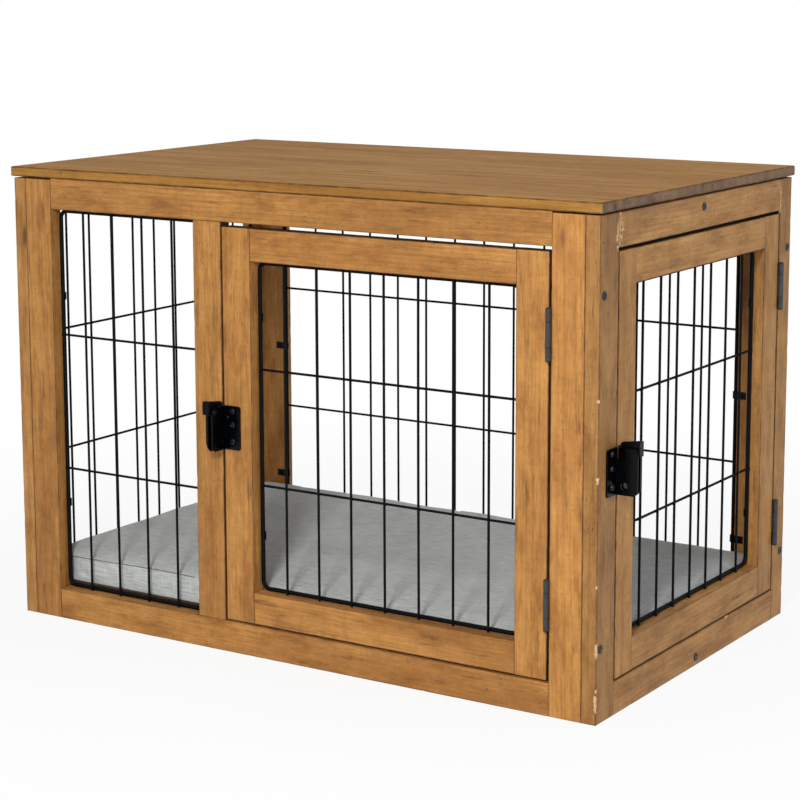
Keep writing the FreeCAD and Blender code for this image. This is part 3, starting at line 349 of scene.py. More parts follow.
class Heap:
    """Vertices and faces of many simple forms that make one piece."""

    def __init__(self):
        self.vertices, self.faces = [], []

    def add(self, vertices, faces, place=None):
        base = len(self.vertices)
        self.vertices += [(place @ Vector(v)) if place else Vector(v) for v in vertices]
        self.faces += [[base + k for k in face] for face in faces]

    def rings(self, levels, place=None, closed=False):
        points = [point for level in levels for point in level]
        self.add(points, ring_faces(len(levels), len(levels[0]), closed), place)

    def lathe(self, profile, place, sides=24):
        """A turned solid about +Z through (radius, height) points, from one pole to the other."""
        self.rings([hoop(radius, height, sides) for radius, height in profile], place)

    def tube(self, path, radius, sides=12, closed=False):
        """Round wire along a path that lies in a plane with the normal +Y."""
        count, up, levels = len(path), Vector((0, 1, 0)), []
        for i, point in enumerate(path):
            before = path[i - 1] if i or closed else point
            after = path[(i + 1) % count] if i < count - 1 or closed else point
            side = (after - before).normalized().cross(up).normalized()
            levels.append([point + (side * cos(turn) + up * sin(turn)) * radius for turn in turns(sides)])
        self.rings(levels, closed=closed)

    def strip(self, outline, low, high, place, ease):
        """A closed XY outline drawn out from z low to z high, its ends eased by a small bevel."""
        count, levels = len(outline), []
        for z, inset in ((low, ease), (low + ease, 0), (high - ease, 0), (high, ease)):
            level = []
            for k, (x, y) in enumerate(outline):
                point = Vector((x, y))
                before, after = Vector(outline[k - 1]), Vector(outline[(k + 1) % count])
                run = (point - before).normalized() + (after - point).normalized()
                inwards = Vector((-run.y, run.x)).normalized() if run.length > 1e-6 else Vector((0, 0))
                level.append((x + inwards.x * inset, y + inwards.y * inset, z))
            levels.append(level)
        self.rings(levels, place)

    def piece(self, name, material, body, node, slot, place=None, angle=35):
        """The heap as one piece that stands for a node."""
        return make(name, self.vertices, self.faces, material, body, [node], place, angle)


def flat(outline, holes, thickness, bevel, matrix):
    """A sheet of metal cut to an XY outline with round or closed holes, its rims eased, as a mesh."""
    curve = bpy.data.curves.new("sheet", "CURVE")
    curve.dimensions, curve.fill_mode = "2D", "BOTH"
    curve.extrude, curve.bevel_depth, curve.bevel_resolution = thickness / 2 - bevel, bevel, 2
    curve.offset = -bevel
    for points in [outline] + holes:
        spline = curve.splines.new("POLY")
        spline.points.add(len(points) - 1)
        for point, (x, y) in zip(spline.points, points):
            point.co = (x, y, 0, 1)
        spline.use_cyclic_u = True
    holder = bpy.data.objects.new("sheet", curve)
    scene.collection.objects.link(holder)
    bpy.context.view_layer.update()
    mesh = bpy.data.meshes.new_from_object(holder.evaluated_get(bpy.context.evaluated_depsgraph_get()))
    mesh.transform(matrix)
    found = ([v.co.copy() for v in mesh.vertices], [list(p.vertices) for p in mesh.polygons])
    bpy.data.objects.remove(holder)
    bpy.data.meshes.remove(mesh)
    return found


def circle(x, y, radius):
    return [(x + radius * cos(turn), y + radius * sin(turn)) for turn in turns(24)]


def rounded(corners):
    """An outline through (x, y, radius) corners: rounded by the radius, or cut flat where it's negative."""
    outline, count = [], len(corners)
    for k, (x, y, radius) in enumerate(corners):
        here = Vector((x, y))
        back = (Vector(corners[k - 1][:2]) - here).normalized()
        on = (Vector(corners[(k + 1) % count][:2]) - here).normalized()
        if radius == 0:
            outline.append((x, y))
            continue
        reach = abs(radius)
        if radius < 0:
            outline += [tuple(here + back * reach), tuple(here + on * reach)]
            continue
        for step in range(7):
            t = step / 6
            a, b = here + back * reach * (1 - t) ** 2, here + on * reach * t ** 2
            outline.append(tuple(a + b - here))
    return outline


# -------------------- timber

ARRIS = 0.6      # the rounding of a bar's long edges
END_EASE = 0.45  # and of its ends
GAP_SHADE = 1.7     # how strongly painted shade darkens a face that looks into a gap


def wavering(point, seed):
    return noise.noise(point + Vector((seed, seed * 0.37, -seed)))


def plank(node, vertices, faces, materials, body, grains, wear_and_shade_values, ends, angle):
    """A bar or a board in place of its node, with the second material on its end faces."""
    piece = make(node + "_wood", vertices, faces, materials, body, [node], angle=angle,
                 attributes={"grain": ("FLOAT_VECTOR", grains), "wear_and_gap_shade": ("FLOAT_COLOR", wear_and_shade_values)})
    for index in ends:
        piece.data.polygons[index].material_index = 1


def rim(width, height):
    """Points round a bar's section: (u, v, outward u, outward v, how near an arris is)."""
    points = []
    for quarter in range(4):
        span = width if quarter % 2 == 0 else height
        stops = [s for s in (1.25, 4.0, 9.0) if s < span / 2 - 1]
        middle = [span / 2 + (k - 1) * span / 6 for k in range(3) if span > 30]
        stops += middle + [span - s for s in stops[::-1]]
        line = [(s, 0.0, 0, -1, 0.0) for s in sorted(set(stops))] + [(span - ARRIS, 0.0, 0, -1, 0.9)]
        line += [(span - ARRIS + ARRIS * sin(t), ARRIS - ARRIS * cos(t), sin(t), -cos(t), 1.0)
                 for t in (pi / 6, pi / 3)]
        for s, d, ns, nd, near in line:
            u, v = [(s, d), (width - d, s), (width - s, height - d), (d, height - s)][quarter]
            nu, nv = [(ns, nd), (-nd, ns), (-ns, -nd), (nd, -ns)][quarter]
            points.append((u, v, nu, nv, near))
    return points


def timber(node, grain, material, body, tenon=0.0, seed=0, step=7.5, chips=(), tone_and_light=None, shut=()):
    """A bar in place of a CAD node, without tenons. Chips: (from, to, u end, v end, depth, reach) along it.
    Shut: which edges, 0 the low one and 1 the high one, face a gap or a window, where shade is painted."""
    low, high = (list(corner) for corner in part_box(node))
    g = "xyz".index(grain)
    a, b = [k for k in range(3) if k != g]
    low[g] += tenon * MM
    high[g] -= tenon * MM
    length, width, height = [(high[k] - low[k]) / MM for k in (g, a, b)]
    rng = random.Random(seed * 7919 + 17)
    shift = Vector((rng.uniform(0, 9), rng.uniform(0, 9), rng.uniform(0, 9)))
    own_tone_and_light = rng.uniform(0.25, 0.75) if tone_and_light is None else tone_and_light
    ring = rim(width, height)
    margin = 2.2
    stations = [(0, END_EASE), (END_EASE, 0.0), (margin, 0.0)]
    count = max(2, round((length - 2 * margin) / step))
    stations += [(margin + (length - 2 * margin) * k / count, 0.0) for k in range(1, count)]
    stations += [(length - margin, 0.0), (length - END_EASE, 0.0), (length, END_EASE)]
    for start, stop, *_ in chips:
        extra = [(start + (stop - start) * k / 8, 0.0) for k in range(9)]
        stations = sorted(set(stations + [s for s in extra if 3 < s[0] < length - 3]))
    vertices, grains, wear_and_shade_values = [], [], []
    for t, inset in stations:
        for u, v, nu, nv, near in ring:
            place = Vector((t / 55, u / 14, v / 14))
            push = -inset + wavering(place, seed) * 0.1
            chip = 0.0
            if near >= 0.8:
                nick = noise.noise(Vector((t / 9, u / 6 + seed, v / 6)))
                push -= max(0.0, nick - 0.12) * 0.75
            for start, stop, u_end, v_end, depth, wide in chips:
                if start - 2 <= t <= stop + 2:
                    reach = max(0.0, 1 - hypot(u - u_end * width, v - v_end * height) / wide)
                    swing = sin(pi * min(1, max(0, (t - start) / (stop - start))))
                    amount = reach * max(0.0, swing) * (0.7 + 0.6 * noise.noise(Vector((t / 3, seed, 5))))
                    if amount > 0.02:
                        push -= amount * depth
                        bare = 2.4 if wide < 10 else 1.1    # a wide bruise keeps most of its stain
                        chip = max(chip, min(1, amount * bare))
            spot = [0, 0, 0]
            spot[g] = low[g] + t * MM
            spot[a] = low[a] + (u + nu * push) * MM
            spot[b] = low[b] + (v + nv * push) * MM
            vertices.append(spot)
            grains += [t * MM + shift.x, u * MM + shift.y, v * MM + shift.z]
            edge = max(near, 0.75 if inset > 0 else 0.0)
            flat_on = u if width > height else v
            # a point on a face that looks into a gap gets painted shade
            closed = near < 0.9 and any(abs(flat_on - end * max(width, height)) < 0.01 for end in shut)
            wear_and_shade_values += [edge, chip, own_tone_and_light, GAP_SHADE if closed else 0.0]
    faces = ring_faces(len(stations), len(ring))
    plank(node, vertices, faces, [material, END_WOOD], body, grains, wear_and_shade_values, (-2, -1), 50)


T = 14           # a rail's stub tenon
LOW, HIGH = (0,), (1,)
# the front's given tones are partly the pieces' own and partly painted light: the right stile lighter, the
# left darker
for seed, (name, grain, tenon, tone_and_light, shut) in enumerate((
        ("front_left_stile", "z", 0, 0.35, ()), ("front_right_stile", "z", 0, 0.85, LOW),
        ("front_top_rail", "x", T, 0.05, LOW), ("front_bottom_rail", "x", T, 0.5, ()),
        ("front_mullion", "z", T, 0.30, HIGH), ("back_right_stile", "z", 0, None, ()),
        ("back_left_stile", "z", 0, None, ()), ("back_top_rail", "x", T, None, ()),
        ("back_bottom_rail", "x", T, None, ()), ("top_middle_rail", "x", 0, None, ()),
        ("floor_middle_rail", "x", 0, None, ())), start=1):
    timber(name, grain, FRONT_WOOD, "cabin", tenon, seed, tone_and_light=tone_and_light, shut=shut)
NEAR_EDGE = ((8, 42, 1, 0, 1.1, 2.8), (72, 94, 1, 0, 1.0, 3.0), (264, 273, 1, 0, 0.8, 2.8),
             (352, 357, 1, 0, 0.5, 2.2), (506, 540, 1, 1, 0.8, 6.5), (150, 156, 1, 0, 0.5, 2.2))
for seed, (name, grain, tenon, shut, chips) in enumerate((
        ("right_front_stile", "z", 0, HIGH, NEAR_EDGE),
        ("right_rear_stile", "z", 0, LOW, ((505, 548, 1, 0, 0.7, 3.4),)),
        ("right_top_rail", "y", T, LOW, ((-5, 15, 1, 0.4, 0.1, 24.0), (0, 6, 1, 1, 0.4, 4.0))),
        ("right_bottom_rail", "y", T, (), ((286, 300, 1, 1, 1.6, 4.0),)),
        ("left_rear_stile", "z", 0, (), ()), ("left_front_stile", "z", 0, (), ()),
        ("left_top_rail", "y", T, (), ()), ("left_bottom_rail", "y", T, (), ())), start=21):
    timber(name, grain, SIDE_WOOD, "cabin", tenon, seed, chips=chips, shut=shut,
           tone_and_light=0.0 if name == "right_front_stile" else None)
for first, door, material, axis, slot in ((41, "front_door", FRONT_WOOD, "x", "front_timber"),
                                          (51, "side_door", SIDE_WOOD, "y", "side_timber")):
    for seed, (name, grain, tenon, shut) in enumerate((
            ("latch_stile", "z", 0, LOW), ("hinge_stile", "z", 0, HIGH), ("top_rail", axis, T, HIGH),
            ("bottom_rail", axis, T, LOW)), start=first):
        timber(f"{door}_{name}", grain, material, door, tenon, seed, shut=shut)
for seed, name in enumerate(("floor_front_cleat", "floor_back_cleat"), start=61):
    timber(name, "x", FLOOR_WOOD, "cabin", 0, seed)


def board(node, material, seed, edge, step, end_material, swell):
    """A wide board with eased edges, its grain along X."""
    low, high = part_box(node)
    length, depth, thick = ((high[k] - low[k]) / MM for k in range(3))
    rng = random.Random(seed)
    shift = [rng.uniform(0, 9) for k in range(3)]

    def stops(span):
        near = [0, edge, 2.4, 9.0]
        count = round((span - 18) / step)
        between = [9 + (span - 18) * k / count for k in range(1, count)]
        return near + between + [span - s for s in near[::-1]]

    xs, ys = stops(length), stops(depth)
    rows, cols = len(xs), len(ys)
    vertices, grains, wear_and_shade_values = [], [], []

    def put(x, y, z, near):
        vertices.append((low.x + x * MM, low.y + y * MM, low.z + z * MM))
        grains.extend((x * MM + shift[0], y * MM + shift[1], z * MM + shift[2]))
        wear_and_shade_values.extend((near, 0.0, 0.5, 0.0))

    for face in (0, 1):
        for i, x in enumerate(xs):
            for j, y in enumerate(ys):
                rank = min(i, rows - 1 - i, j, cols - 1 - j)
                lift = noise.noise(Vector((x / 150, y / 26, face * 9 + seed))) * swell if rank else 0.0
                drop = 0.0 if rank else edge
                z = thick - drop + lift if face else drop - lift
                put(x, y, z, (1.0, 0.8)[rank] if rank < 2 else 0.0)
    faces, ends = [], []
    for face in (0, 1):
        base = face * rows * cols
        for i in range(rows - 1):
            for j in range(cols - 1):
                a = base + i * cols + j
                faces.append([a, a + cols, a + cols + 1, a + 1])
    # the sides: two loops near the arrises between the lower and the upper rim
    loop = [i * cols for i in range(rows)] + [(rows - 1) * cols + j for j in range(1, cols)]
    loop += [i * cols + cols - 1 for i in range(rows - 2, -1, -1)] + [j for j in range(cols - 2, 0, -1)]
    count = len(loop)
    first = len(vertices)
    margin = edge + 0.9
    for z in (margin, thick / 2, thick - margin):
        for a in loop:
            x, y = xs[a // cols], ys[a % cols]
            nick = noise.noise(Vector((x / 30, y / 30, z / 9 + seed))) * 0.12
            put(x + nick * ((x == 0) - (x == length)), y + nick * ((y == 0) - (y == depth)), z, 0.0)
    levels = [loop] + [[first + row * count + k for k in range(count)] for row in range(3)]
    levels.append([a + rows * cols for a in loop])
    for under, over in zip(levels, levels[1:]):
        for k, a in enumerate(loop):
            m = (k + 1) % count
            if xs[a // cols] == xs[loop[m] // cols] and xs[a // cols] in (0, length):
                ends.append(len(faces))
            faces.append([under[k], under[m], over[m], over[k]])
    plank(node, vertices, faces, [material, end_material], "cabin", grains, wear_and_shade_values, ends, 40)


board("table_top", TOP_WOOD, 71, 1.1, 9, END_WOOD, 0.12)
board("floor_board", FLOOR_WOOD, 72, 0.5, 16, FLOOR_WOOD, 0.1)


# -------------------- wire grids

def grid(node, side, left, right, foot, head, pitch, ties, body, seed):
    """The welded grid of a window: rod, upright bars with flush ends, ties and their weld beads."""
    rng, heap, bend, margin = random.Random(seed), Heap(), 9.0, 60
    x0, x1, z0, z1 = left + ROD_INSET, right - ROD_INSET, foot + ROD_INSET, head - ROD_INSET
    path = []
    for cx, cz, start in ((x1 - bend, z1 - bend, 0), (x0 + bend, z1 - bend, 1), (x0 + bend, z0 + bend, 2),
                          (x1 - bend, z0 + bend, 3)):
        for k in range(9):
            angle = pi / 2 * (start + k / 8)
            path.append(Vector((cx + bend * cos(angle), ROD_DEPTH, cz + bend * sin(angle))))
    heap.tube(path, ROD / 2, 16, closed=True)
    count = int((x1 - x0 - margin) / pitch) + 1
    bar_y = ROD_DEPTH - (ROD + WIRE) / 2 + 0.4
    tie_y = ROD_DEPTH - (ROD - WIRE) / 2
    low, high = z0 - ROD / 2 - 0.3, z1 + ROD / 2 + 0.3
    for k in range(count):
        x = (x0 + x1) / 2 + (k - (count - 1) / 2) * pitch
        bow, lean = rng.uniform(-0.35, 0.35), rng.uniform(-0.25, 0.25)

        def bar_x(t):
            return x + lean * (1 - t) + bow * sin(pi * t)
        heap.tube([Vector((bar_x(k / 12), bar_y, low + (high - low) * k / 12)) for k in range(13)], WIRE / 2)
        for z in [z0, z1] + list(ties):
            weld(heap, bar_x((z - low) / (high - low)), (bar_y + ROD_DEPTH) / 2 - 0.3, z, rng)
    for z in ties:
        sag = rng.uniform(-0.3, 0.3)
        line = [Vector((x0 + (x1 - x0) * k / 12, tie_y, z + sag * sin(pi * k / 12))) for k in range(13)]
        heap.tube(line, WIRE / 2)
        for x in (x0, x1):
            weld(heap, x, tie_y, z, rng, 2.4)
    heap.piece(node + "_wires", WIRE_PAINT, body, node, "black_wire", panel(side), 45)


def weld(heap, x, y, z, rng, size=1.9):
    """A spot weld, a small flattened bead where two wires cross."""
    profile = [(0.05, -1)] + [(cos(t), sin(t)) for t in (-1.0, -0.4, 0.2, 0.8)] + [(0.05, 1)]
    place = at(x, y, z) @ Matrix.Rotation(rng.uniform(0, 1), 4, "Z")
    place = place @ Matrix.Diagonal((size * rng.uniform(0.9, 1.15), size, size * rng.uniform(0.8, 1.1), 1))
    heap.lathe(profile, place, 8)


def within(door):
    """The window inside a door's stiles and rails."""
    side, (left, right, foot, head) = DOORS[door]
    return left + STILE, right - STILE, foot + RAIL, head - RAIL


# each door's panel, and its left edge, right edge, foot and head there
DOORS = {"front_door": ("front", (318.3, 750.2, 40.2, 508.6)),
         "side_door": ("right", (43.3, 462.2, 40.2, 508.2))}
FRONT_PITCH, SIDE_PITCH = 45.4, 43.3
GRIDS = (
    ("front_window_grid", "front", 58, 276, 38, 514, FRONT_PITCH, (190, 358), "cabin"),
    ("left_side_grid", "left", 33, 457, 38, 512, SIDE_PITCH, (200, 354), "cabin"),
    ("back_grid", "back", 58, 753, 38, 514, FRONT_PITCH, (190, 358), "cabin"),
    ("front_door_grid", "front", *within("front_door"), FRONT_PITCH, (205, 343), "front_door"),
    ("side_door_grid", "right", *within("side_door"), SIDE_PITCH, (200, 346), "side_door"),
)
for seed, entry in enumerate(GRIDS, start=81):
    grid(*entry, seed)


# -------------------- screws, clips

def socket_screw(heap, place, radius=5.0):
    """A head barely proud of the timber, facing -Z of its place, with a hexagon socket."""
    sides, hexagon = 24, []
    for turn in turns(sides):
        reach = 2.1 / max(cos((turn % (pi / 3)) - pi / 6), 0.8)
        hexagon.append((reach * cos(turn), reach * sin(turn)))
    levels = [[(x * scale, y * scale, z) for x, y in hexagon]
              for scale, z in ((0.9, 0.58), (1, 0.02), (1.12, -0.16))]
    levels += [hoop(r, z, sides) for r, z in ((radius * 0.90, -0.16), (radius * 0.97, -0.08), (radius, 0.12),
                                              (radius, 0.9), (radius * 0.6, 2.8))]
    heap.rings(levels, place)


def pan_screw(heap, place, radius=3.5, height=1.8, spin=0.0):
    """A pan head that stands on z 0 towards -Z of its place, with a cross recess."""
    sides, arm, waist = 32, 2.0, 0.45
    levels = []
    for scale, z in ((0.45, -height + 1.1), (0.9, -height + 0.15), (1.0, -height - 0.02)):
        level = []
        for turn in turns(sides):
            off = (turn + pi / 4) % (pi / 2) - pi / 4
            r = min(arm, waist / max(abs(sin(off)), 1e-3)) * scale
            level.append((r * cos(turn + spin), r * sin(turn + spin), z))
        levels.append(level)
    levels += [hoop(r, z, sides, spin) for r, z in ((radius * 0.74, -height), (radius * 0.93, -height * 0.78),
                                                    (radius, -height * 0.4), (radius, 0.0))]
    heap.rings(levels, place)


INTO = turned(-90, "X")   # +Z of a screw turned to +Y, into the panel
SCREW_PROUD = 0.72

heap = Heap()
for side in ("right", "left"):
    for x, z in ((9, 83), (9, 465), (489, 83), (489, 465), (249, 10.3), (249, 536.6)):
        socket_screw(heap, panel(side) @ at(x, -SCREW_PROUD, z) @ INTO)
heap.piece("panel_screw_heads", SCREW_PAINT, "cabin", "panel_screws", "screw_steel", angle=30)


def clip(heap, place, hand):
    """A bent strip that holds the rod of a grid, with its screw. Hand 1 stands at a window's left edge."""
    reach, thick, tail, half_width = ROD / 2 + 0.2, 1.2, 12.0, 4.5
    faces = []
    for grown in (0, thick):
        line = [(-tail, TIMBER + grown), (ROD_INSET - 0.5, TIMBER + grown)]
        for k in range(1, 9):
            angle = pi / 2 * (1 - k / 8)
            line.append((ROD_INSET + (reach + grown) * cos(angle), ROD_DEPTH + (reach + grown) * sin(angle)))
        faces.append(line)
    outline = [(hand * x, y) for x, y in faces[0] + faces[1][::-1]]
    heap.strip(outline[::-hand], -half_width, half_width, place, 0.25)
    screw = at(hand * -6.2, TIMBER + thick, 0) @ turned(90, "X")
    pan_screw(heap, place @ screw, 2.9, 1.3)


WINDOW = {entry[0]: entry for entry in GRIDS}
for name, body, windows in (
        ("cabin_grid_clips", "cabin", (("front_window_grid", (-130, 130)), ("left_side_grid", (-130, 130)),
                                       ("back_grid", (-184, 0, 184)))),
        ("front_door_grid_clips", "front_door", (("front_door_grid", (-130, 130)),)),
        ("side_door_grid_clips", "side_door", (("side_door_grid", (-130, 130)),))):
    heap = Heap()
    for window, rises in windows:
        side, left, right, foot, head = WINDOW[window][1:6]
        for rise in rises:
            for x, hand in ((left, 1), (right, -1)):
                clip(heap, panel(side) @ at(x, 0, (foot + head) / 2 + rise), hand)
    heap.piece(name + "_bent", LATCH_PAINT, body, name, "black_wire", angle=40)


# -------------------- hinges

HINGE, GAUGE, LEAF = 56, 1.2, 18.8   # a hinge's height, its sheet, a leaf's reach from the pin
HINGE_RISE, HINGE_DROP = 57, 60      # the hinges from the foot and from the head of their door


def knuckle(heap, low, high, place):
    """A rolled knuckle with eased rims, open for its pin."""
    outer, bore, ease, mouth = 3.25, 1.66, 0.35, 0.25
    profile = [(bore, low + 0.2), (bore + mouth, low), (outer - ease, low), (outer, low + ease),
               (outer, high - ease), (outer - ease, high), (bore + mouth, high), (bore, high - 0.2)]
    heap.rings([hoop(radius, z, 28) for radius, z in profile], place, closed=True)


for door, (side, (left, right, foot, head)) in DOORS.items():
    leaves = {"frame": Heap(), "door": Heap()}
    pins = Heap()
    for lowest in (foot + HINGE_RISE, head - HINGE_DROP - HINGE):
        place = panel(side) @ at(right + 1.4, -3.6, lowest)
        for owner, x, spans in (("frame", 0.2, ((0, 13.85), (42.15, HINGE))),
                                ("door", -1.4, ((14.15, 41.85),))):
            heap = leaves[owner]
            heap.strip([(x, 3.75), (x + GAUGE, 3.75), (x + GAUGE, LEAF), (x, LEAF)], 0, HINGE, place, 0.2)
            for low, high in spans:
                knuckle(heap, low, high, place)
                bend = [(x, 2.2), (x + GAUGE, 2.2), (x + GAUGE, 4.0), (x, 4.0)]
                heap.strip(bend, low + 0.1, high - 0.1, place, 0.15)
        end = [(0.3, -1.30), (1.7, -1.18), (2.8, -0.75), (3.2, -0.35), (1.6, -0.3)]
        pins.lathe(end + [(radius, HINGE - z) for radius, z in end[::-1]], place, 24)
    for owner, body in (("frame", "cabin"), ("door", door)):
        node = f"{door}_hinge_{owner}_leaves"
        leaves[owner].piece(node + "_rolled", HINGE_PAINT, body, node, "hinge_steel")
    pins.piece(f"{door}_hinge_pins_turned", HINGE_PAINT, "cabin", f"{door}_hinge_pins", "hinge_steel")


# -------------------- latches

# latch frame: x from the frame's side to the door's side, y inwards, z from the plates' middle
HALF, OUT, SPACE, PLATE, LEG, BEND, RIM = 26, 27, 2.25, 2.0, 21, 1.9, 0.3
PIVOT_OUT, PIVOT_UP, PIVOT_BORE = 21.5, 20, 2.06
ON_SIDE = Matrix(((0, 0, 1, 0), (-1, 0, 0, 0), (0, 1, 0, 0), (0, 0, 0, 1)))   # for a flange: out, up
UPRIGHT = Matrix(((1, 0, 0, 0), (0, 0, -1, 0), (0, 1, 0, 0), (0, 0, 0, 1)))   # for a leg: x, up


def latch_plate(door, where, hand, body):
    """An angle plate: a leg, and a flange with a padlock hole. Hand -1 is the frame's, with the hook's notch,
    and 1 the door's, with the pivot's hole and a domed stud."""
    heap = Heap()
    notch = HALF - 13
    shoulder = [(11.5, HALF, 1.2), (11.5, notch, 2.2), (BEND, notch, 0)] if hand < 0 else [(BEND, HALF, 0)]
    flange = rounded([(BEND, -HALF, 0), (OUT, -HALF, -5), (OUT, HALF, 5), *shoulder])
    holes = [circle(11, -16, 4)]
    if hand > 0:
        holes.append(circle(PIVOT_OUT, PIVOT_UP, PIVOT_BORE))
    place = at(hand * (SPACE + PLATE / 2), 0, 0) @ ON_SIDE
    heap.add(*flat(flange, holes, PLATE, RIM, place))
    leg = rounded([(0, -HALF, 0), (LEG, -HALF, 3.0), (LEG, HALF, 3.0), (0, HALF, 0)])
    if hand < 0:
        leg = [(-x, z) for x, z in leg[::-1]]
    heap.add(*flat(leg, [], PLATE, RIM, at(hand * (SPACE + BEND), -PLATE / 2, 0) @ UPRIGHT))
    outer, inner, fold = [], [], 0.1
    for k in range(7):
        angle = pi / 2 * k / 6
        outer.append((hand * (SPACE + BEND - BEND * cos(angle)), -BEND + BEND * sin(angle)))
        inner.append((hand * (SPACE + PLATE + fold - fold * cos(angle)), -PLATE - fold + fold * sin(angle)))
    heap.strip((outer + inner[::-1])[::-hand], -HALF, HALF, None, RIM)
    if hand > 0:
        dome = [(2.7, 0.5), (2.7, 1.3), (2.45, 1.9), (1.8, 2.3), (0.9, 2.5), (0.15, 2.52)]
        stud = at(SPACE + 4.8, -PLATE + 0.4, 12.3) @ turned(90, "X")
        heap.lathe(dome, stud, 28)
    name = f"{door}_latch_{'door' if hand > 0 else 'frame'}_plate"
    heap.piece(name + "_bent", LATCH_PAINT, body, name, "latch_steel", where, 40)


def latch_lever(door, where):
    """A sheet lever: an arm with a humped back, a hook bent over the frame's flange, and a thumb tab."""
    heap = Heap()
    arm = rounded([(4.3, 26.5, 0.3), (4.3, 29.6, 1.2), (6.5, 31.6, 1.4), (29.0, 34.9, 0.4),
                   (29.0, 18.4, 0.4), (25.0, 14.6, 2.2), (20.0, 14.6, 2.4), (16.0, 19.0, 2.6),
                   (13.0, 26.5, 1.6), (10.9, 26.5, 0.3)])
    bore = circle(PIVOT_OUT, PIVOT_UP, PIVOT_BORE)
    heap.add(*flat(arm, [bore], PLATE, RIM, at(0.85, 0, 0) @ ON_SIDE))
    hook = rounded([(-7.05, -2.2, 1.4), (0.6, -2.2, 0), (0.6, 2.2, 0), (-7.05, 2.2, 1.4)])
    heap.add(*flat(hook, [], PLATE, RIM, at(0, -6.5, 27.5)))
    tab = rounded([(-7.15, 18.4, 3), (-7.15, 34.9, 3), (1.85, 34.9, 1.0), (1.85, 18.4, 1.0)])
    heap.add(*flat(tab[::-1], [], PLATE, 0.35, at(0, -30, 0) @ UPRIGHT))
    name = f"{door}_latch_lever"
    heap.piece(name + "_bent", LATCH_PAINT, name.replace("door_", ""), name, "latch_steel", where, 40)


def latch_pivot(door, where):
    """A rivet through the lever and the door's plate, with a flat head and a domed one."""
    heap, far = Heap(), SPACE + PLATE
    profile = [(0.2, -1.25), (3.2, -1.25), (3.5, -1.0), (3.5, -0.45), (3.3, -0.25), (2.0, -0.25), (2.0, far),
               (3.9, far + 0.1), (4.0, far + 0.5), (3.6, far + 1.35), (2.6, far + 1.95), (1.2, far + 2.2),
               (0.2, far + 2.2)]
    place = at(0, -PIVOT_OUT, PIVOT_UP) @ turned(90, "Y")
    heap.lathe(profile, place, 28)
    name = f"{door}_latch_pivot"
    heap.piece(name + "_rivet", LATCH_PAINT, door, name, "latch_steel", where)


LATCH_HEIGHT, HALF_GAP = 273, 1.15   # the plates' middle above the floor, and half the gap beside a door
cabin_screws = Heap()
for door, (side, edges) in DOORS.items():
    where = panel(side) @ at(edges[0] - HALF_GAP, 0, LATCH_HEIGHT)
    latch_plate(door, where, -1, "cabin")
    latch_plate(door, where, 1, door)
    latch_lever(door, where)
    latch_pivot(door, where)
    door_screws = Heap()
    for hand, heap in ((-1, cabin_screws), (1, door_screws)):
        for z, spin in ((-16, 0.4), (4, 1.0), (20, 0.1)):
            place = where @ at(hand * (SPACE + PLATE + LEG / 2), -PLATE, z) @ INTO
            pan_screw(heap, place, spin=spin)
    door_screws.piece(f"{door}_latch_screw_heads", SCREW_PAINT, door, f"{door}_latch_screws",
                      "screw_steel", angle=30)
cabin_screws.piece("cabin_latch_screw_heads", SCREW_PAINT, "cabin", "cabin_latch_screws",
                   "screw_steel", angle=30)


# -------------------- the cushion

def blow_up(piece, start, held):
    """Swells a mesh a few millimetres as cloth under pressure. Held: how firmly each point is pinned."""
    most, frames = 6.0 * MM, 18
    pins = piece.vertex_groups.new(name="pins")
    for number, weight in held.items():
        if weight:
            pins.add([number], weight, "REPLACE")
    modifier = piece.modifiers.new("cloth", "CLOTH")
    settings = modifier.settings
    settings.quality, settings.mass = 6, 0.25
    settings.use_pressure, settings.uniform_pressure_force = True, 2.2
    settings.effector_weights.gravity = 0
    settings.tension_stiffness = settings.compression_stiffness = 18
    settings.bending_stiffness = 0.35
    settings.vertex_group_mass = "pins"
    settings.shrink_min = -0.012
    modifier.point_cache.frame_start, modifier.point_cache.frame_end = 1, frames
    for step in range(1, frames + 1):
        scene.frame_set(step)
    bpy.context.view_layer.update()
    swollen = piece.evaluated_get(bpy.context.evaluated_depsgraph_get()).to_mesh()
    moved = [v.co.copy() for v in swollen.vertices]
    piece.evaluated_get(bpy.context.evaluated_depsgraph_get()).to_mesh_clear()
    piece.modifiers.clear()
    scene.frame_set(1)
    for vertex, goal, first in zip(piece.data.vertices, moved, start):
        step = goal - first
        vertex.co = first + (step if step.length < most else step * (most / step.length))


def seam_line(name, material, welt, off, drop, wide, tall, place):
    """A flattened tube of cloth along the cushion's top edge: off and drop from it, wide and tall."""
    count, sides, up = len(welt), 8, Vector((0, 0, 1))
    points, cloth = [], []
    for i, p in enumerate(welt):
        run = (welt[(i + 1) % count] - welt[i - 1]).normalized()
        out = run.cross(up).normalized()
        centre = p + (out * (off + 0.25 * noise.noise(p * 60)) - Vector((0, 0, drop))) * MM
        for turn in turns(sides):
            points.append(centre + (out * cos(turn) * wide + up * sin(turn) * tall) * MM)
            cloth += [*points[-1][:2], 0.0]
    make(name, points, ring_faces(count, sides, closed=True), material, "cabin", (),
         place, 60, {"cloth": ("FLOAT_VECTOR", cloth)})


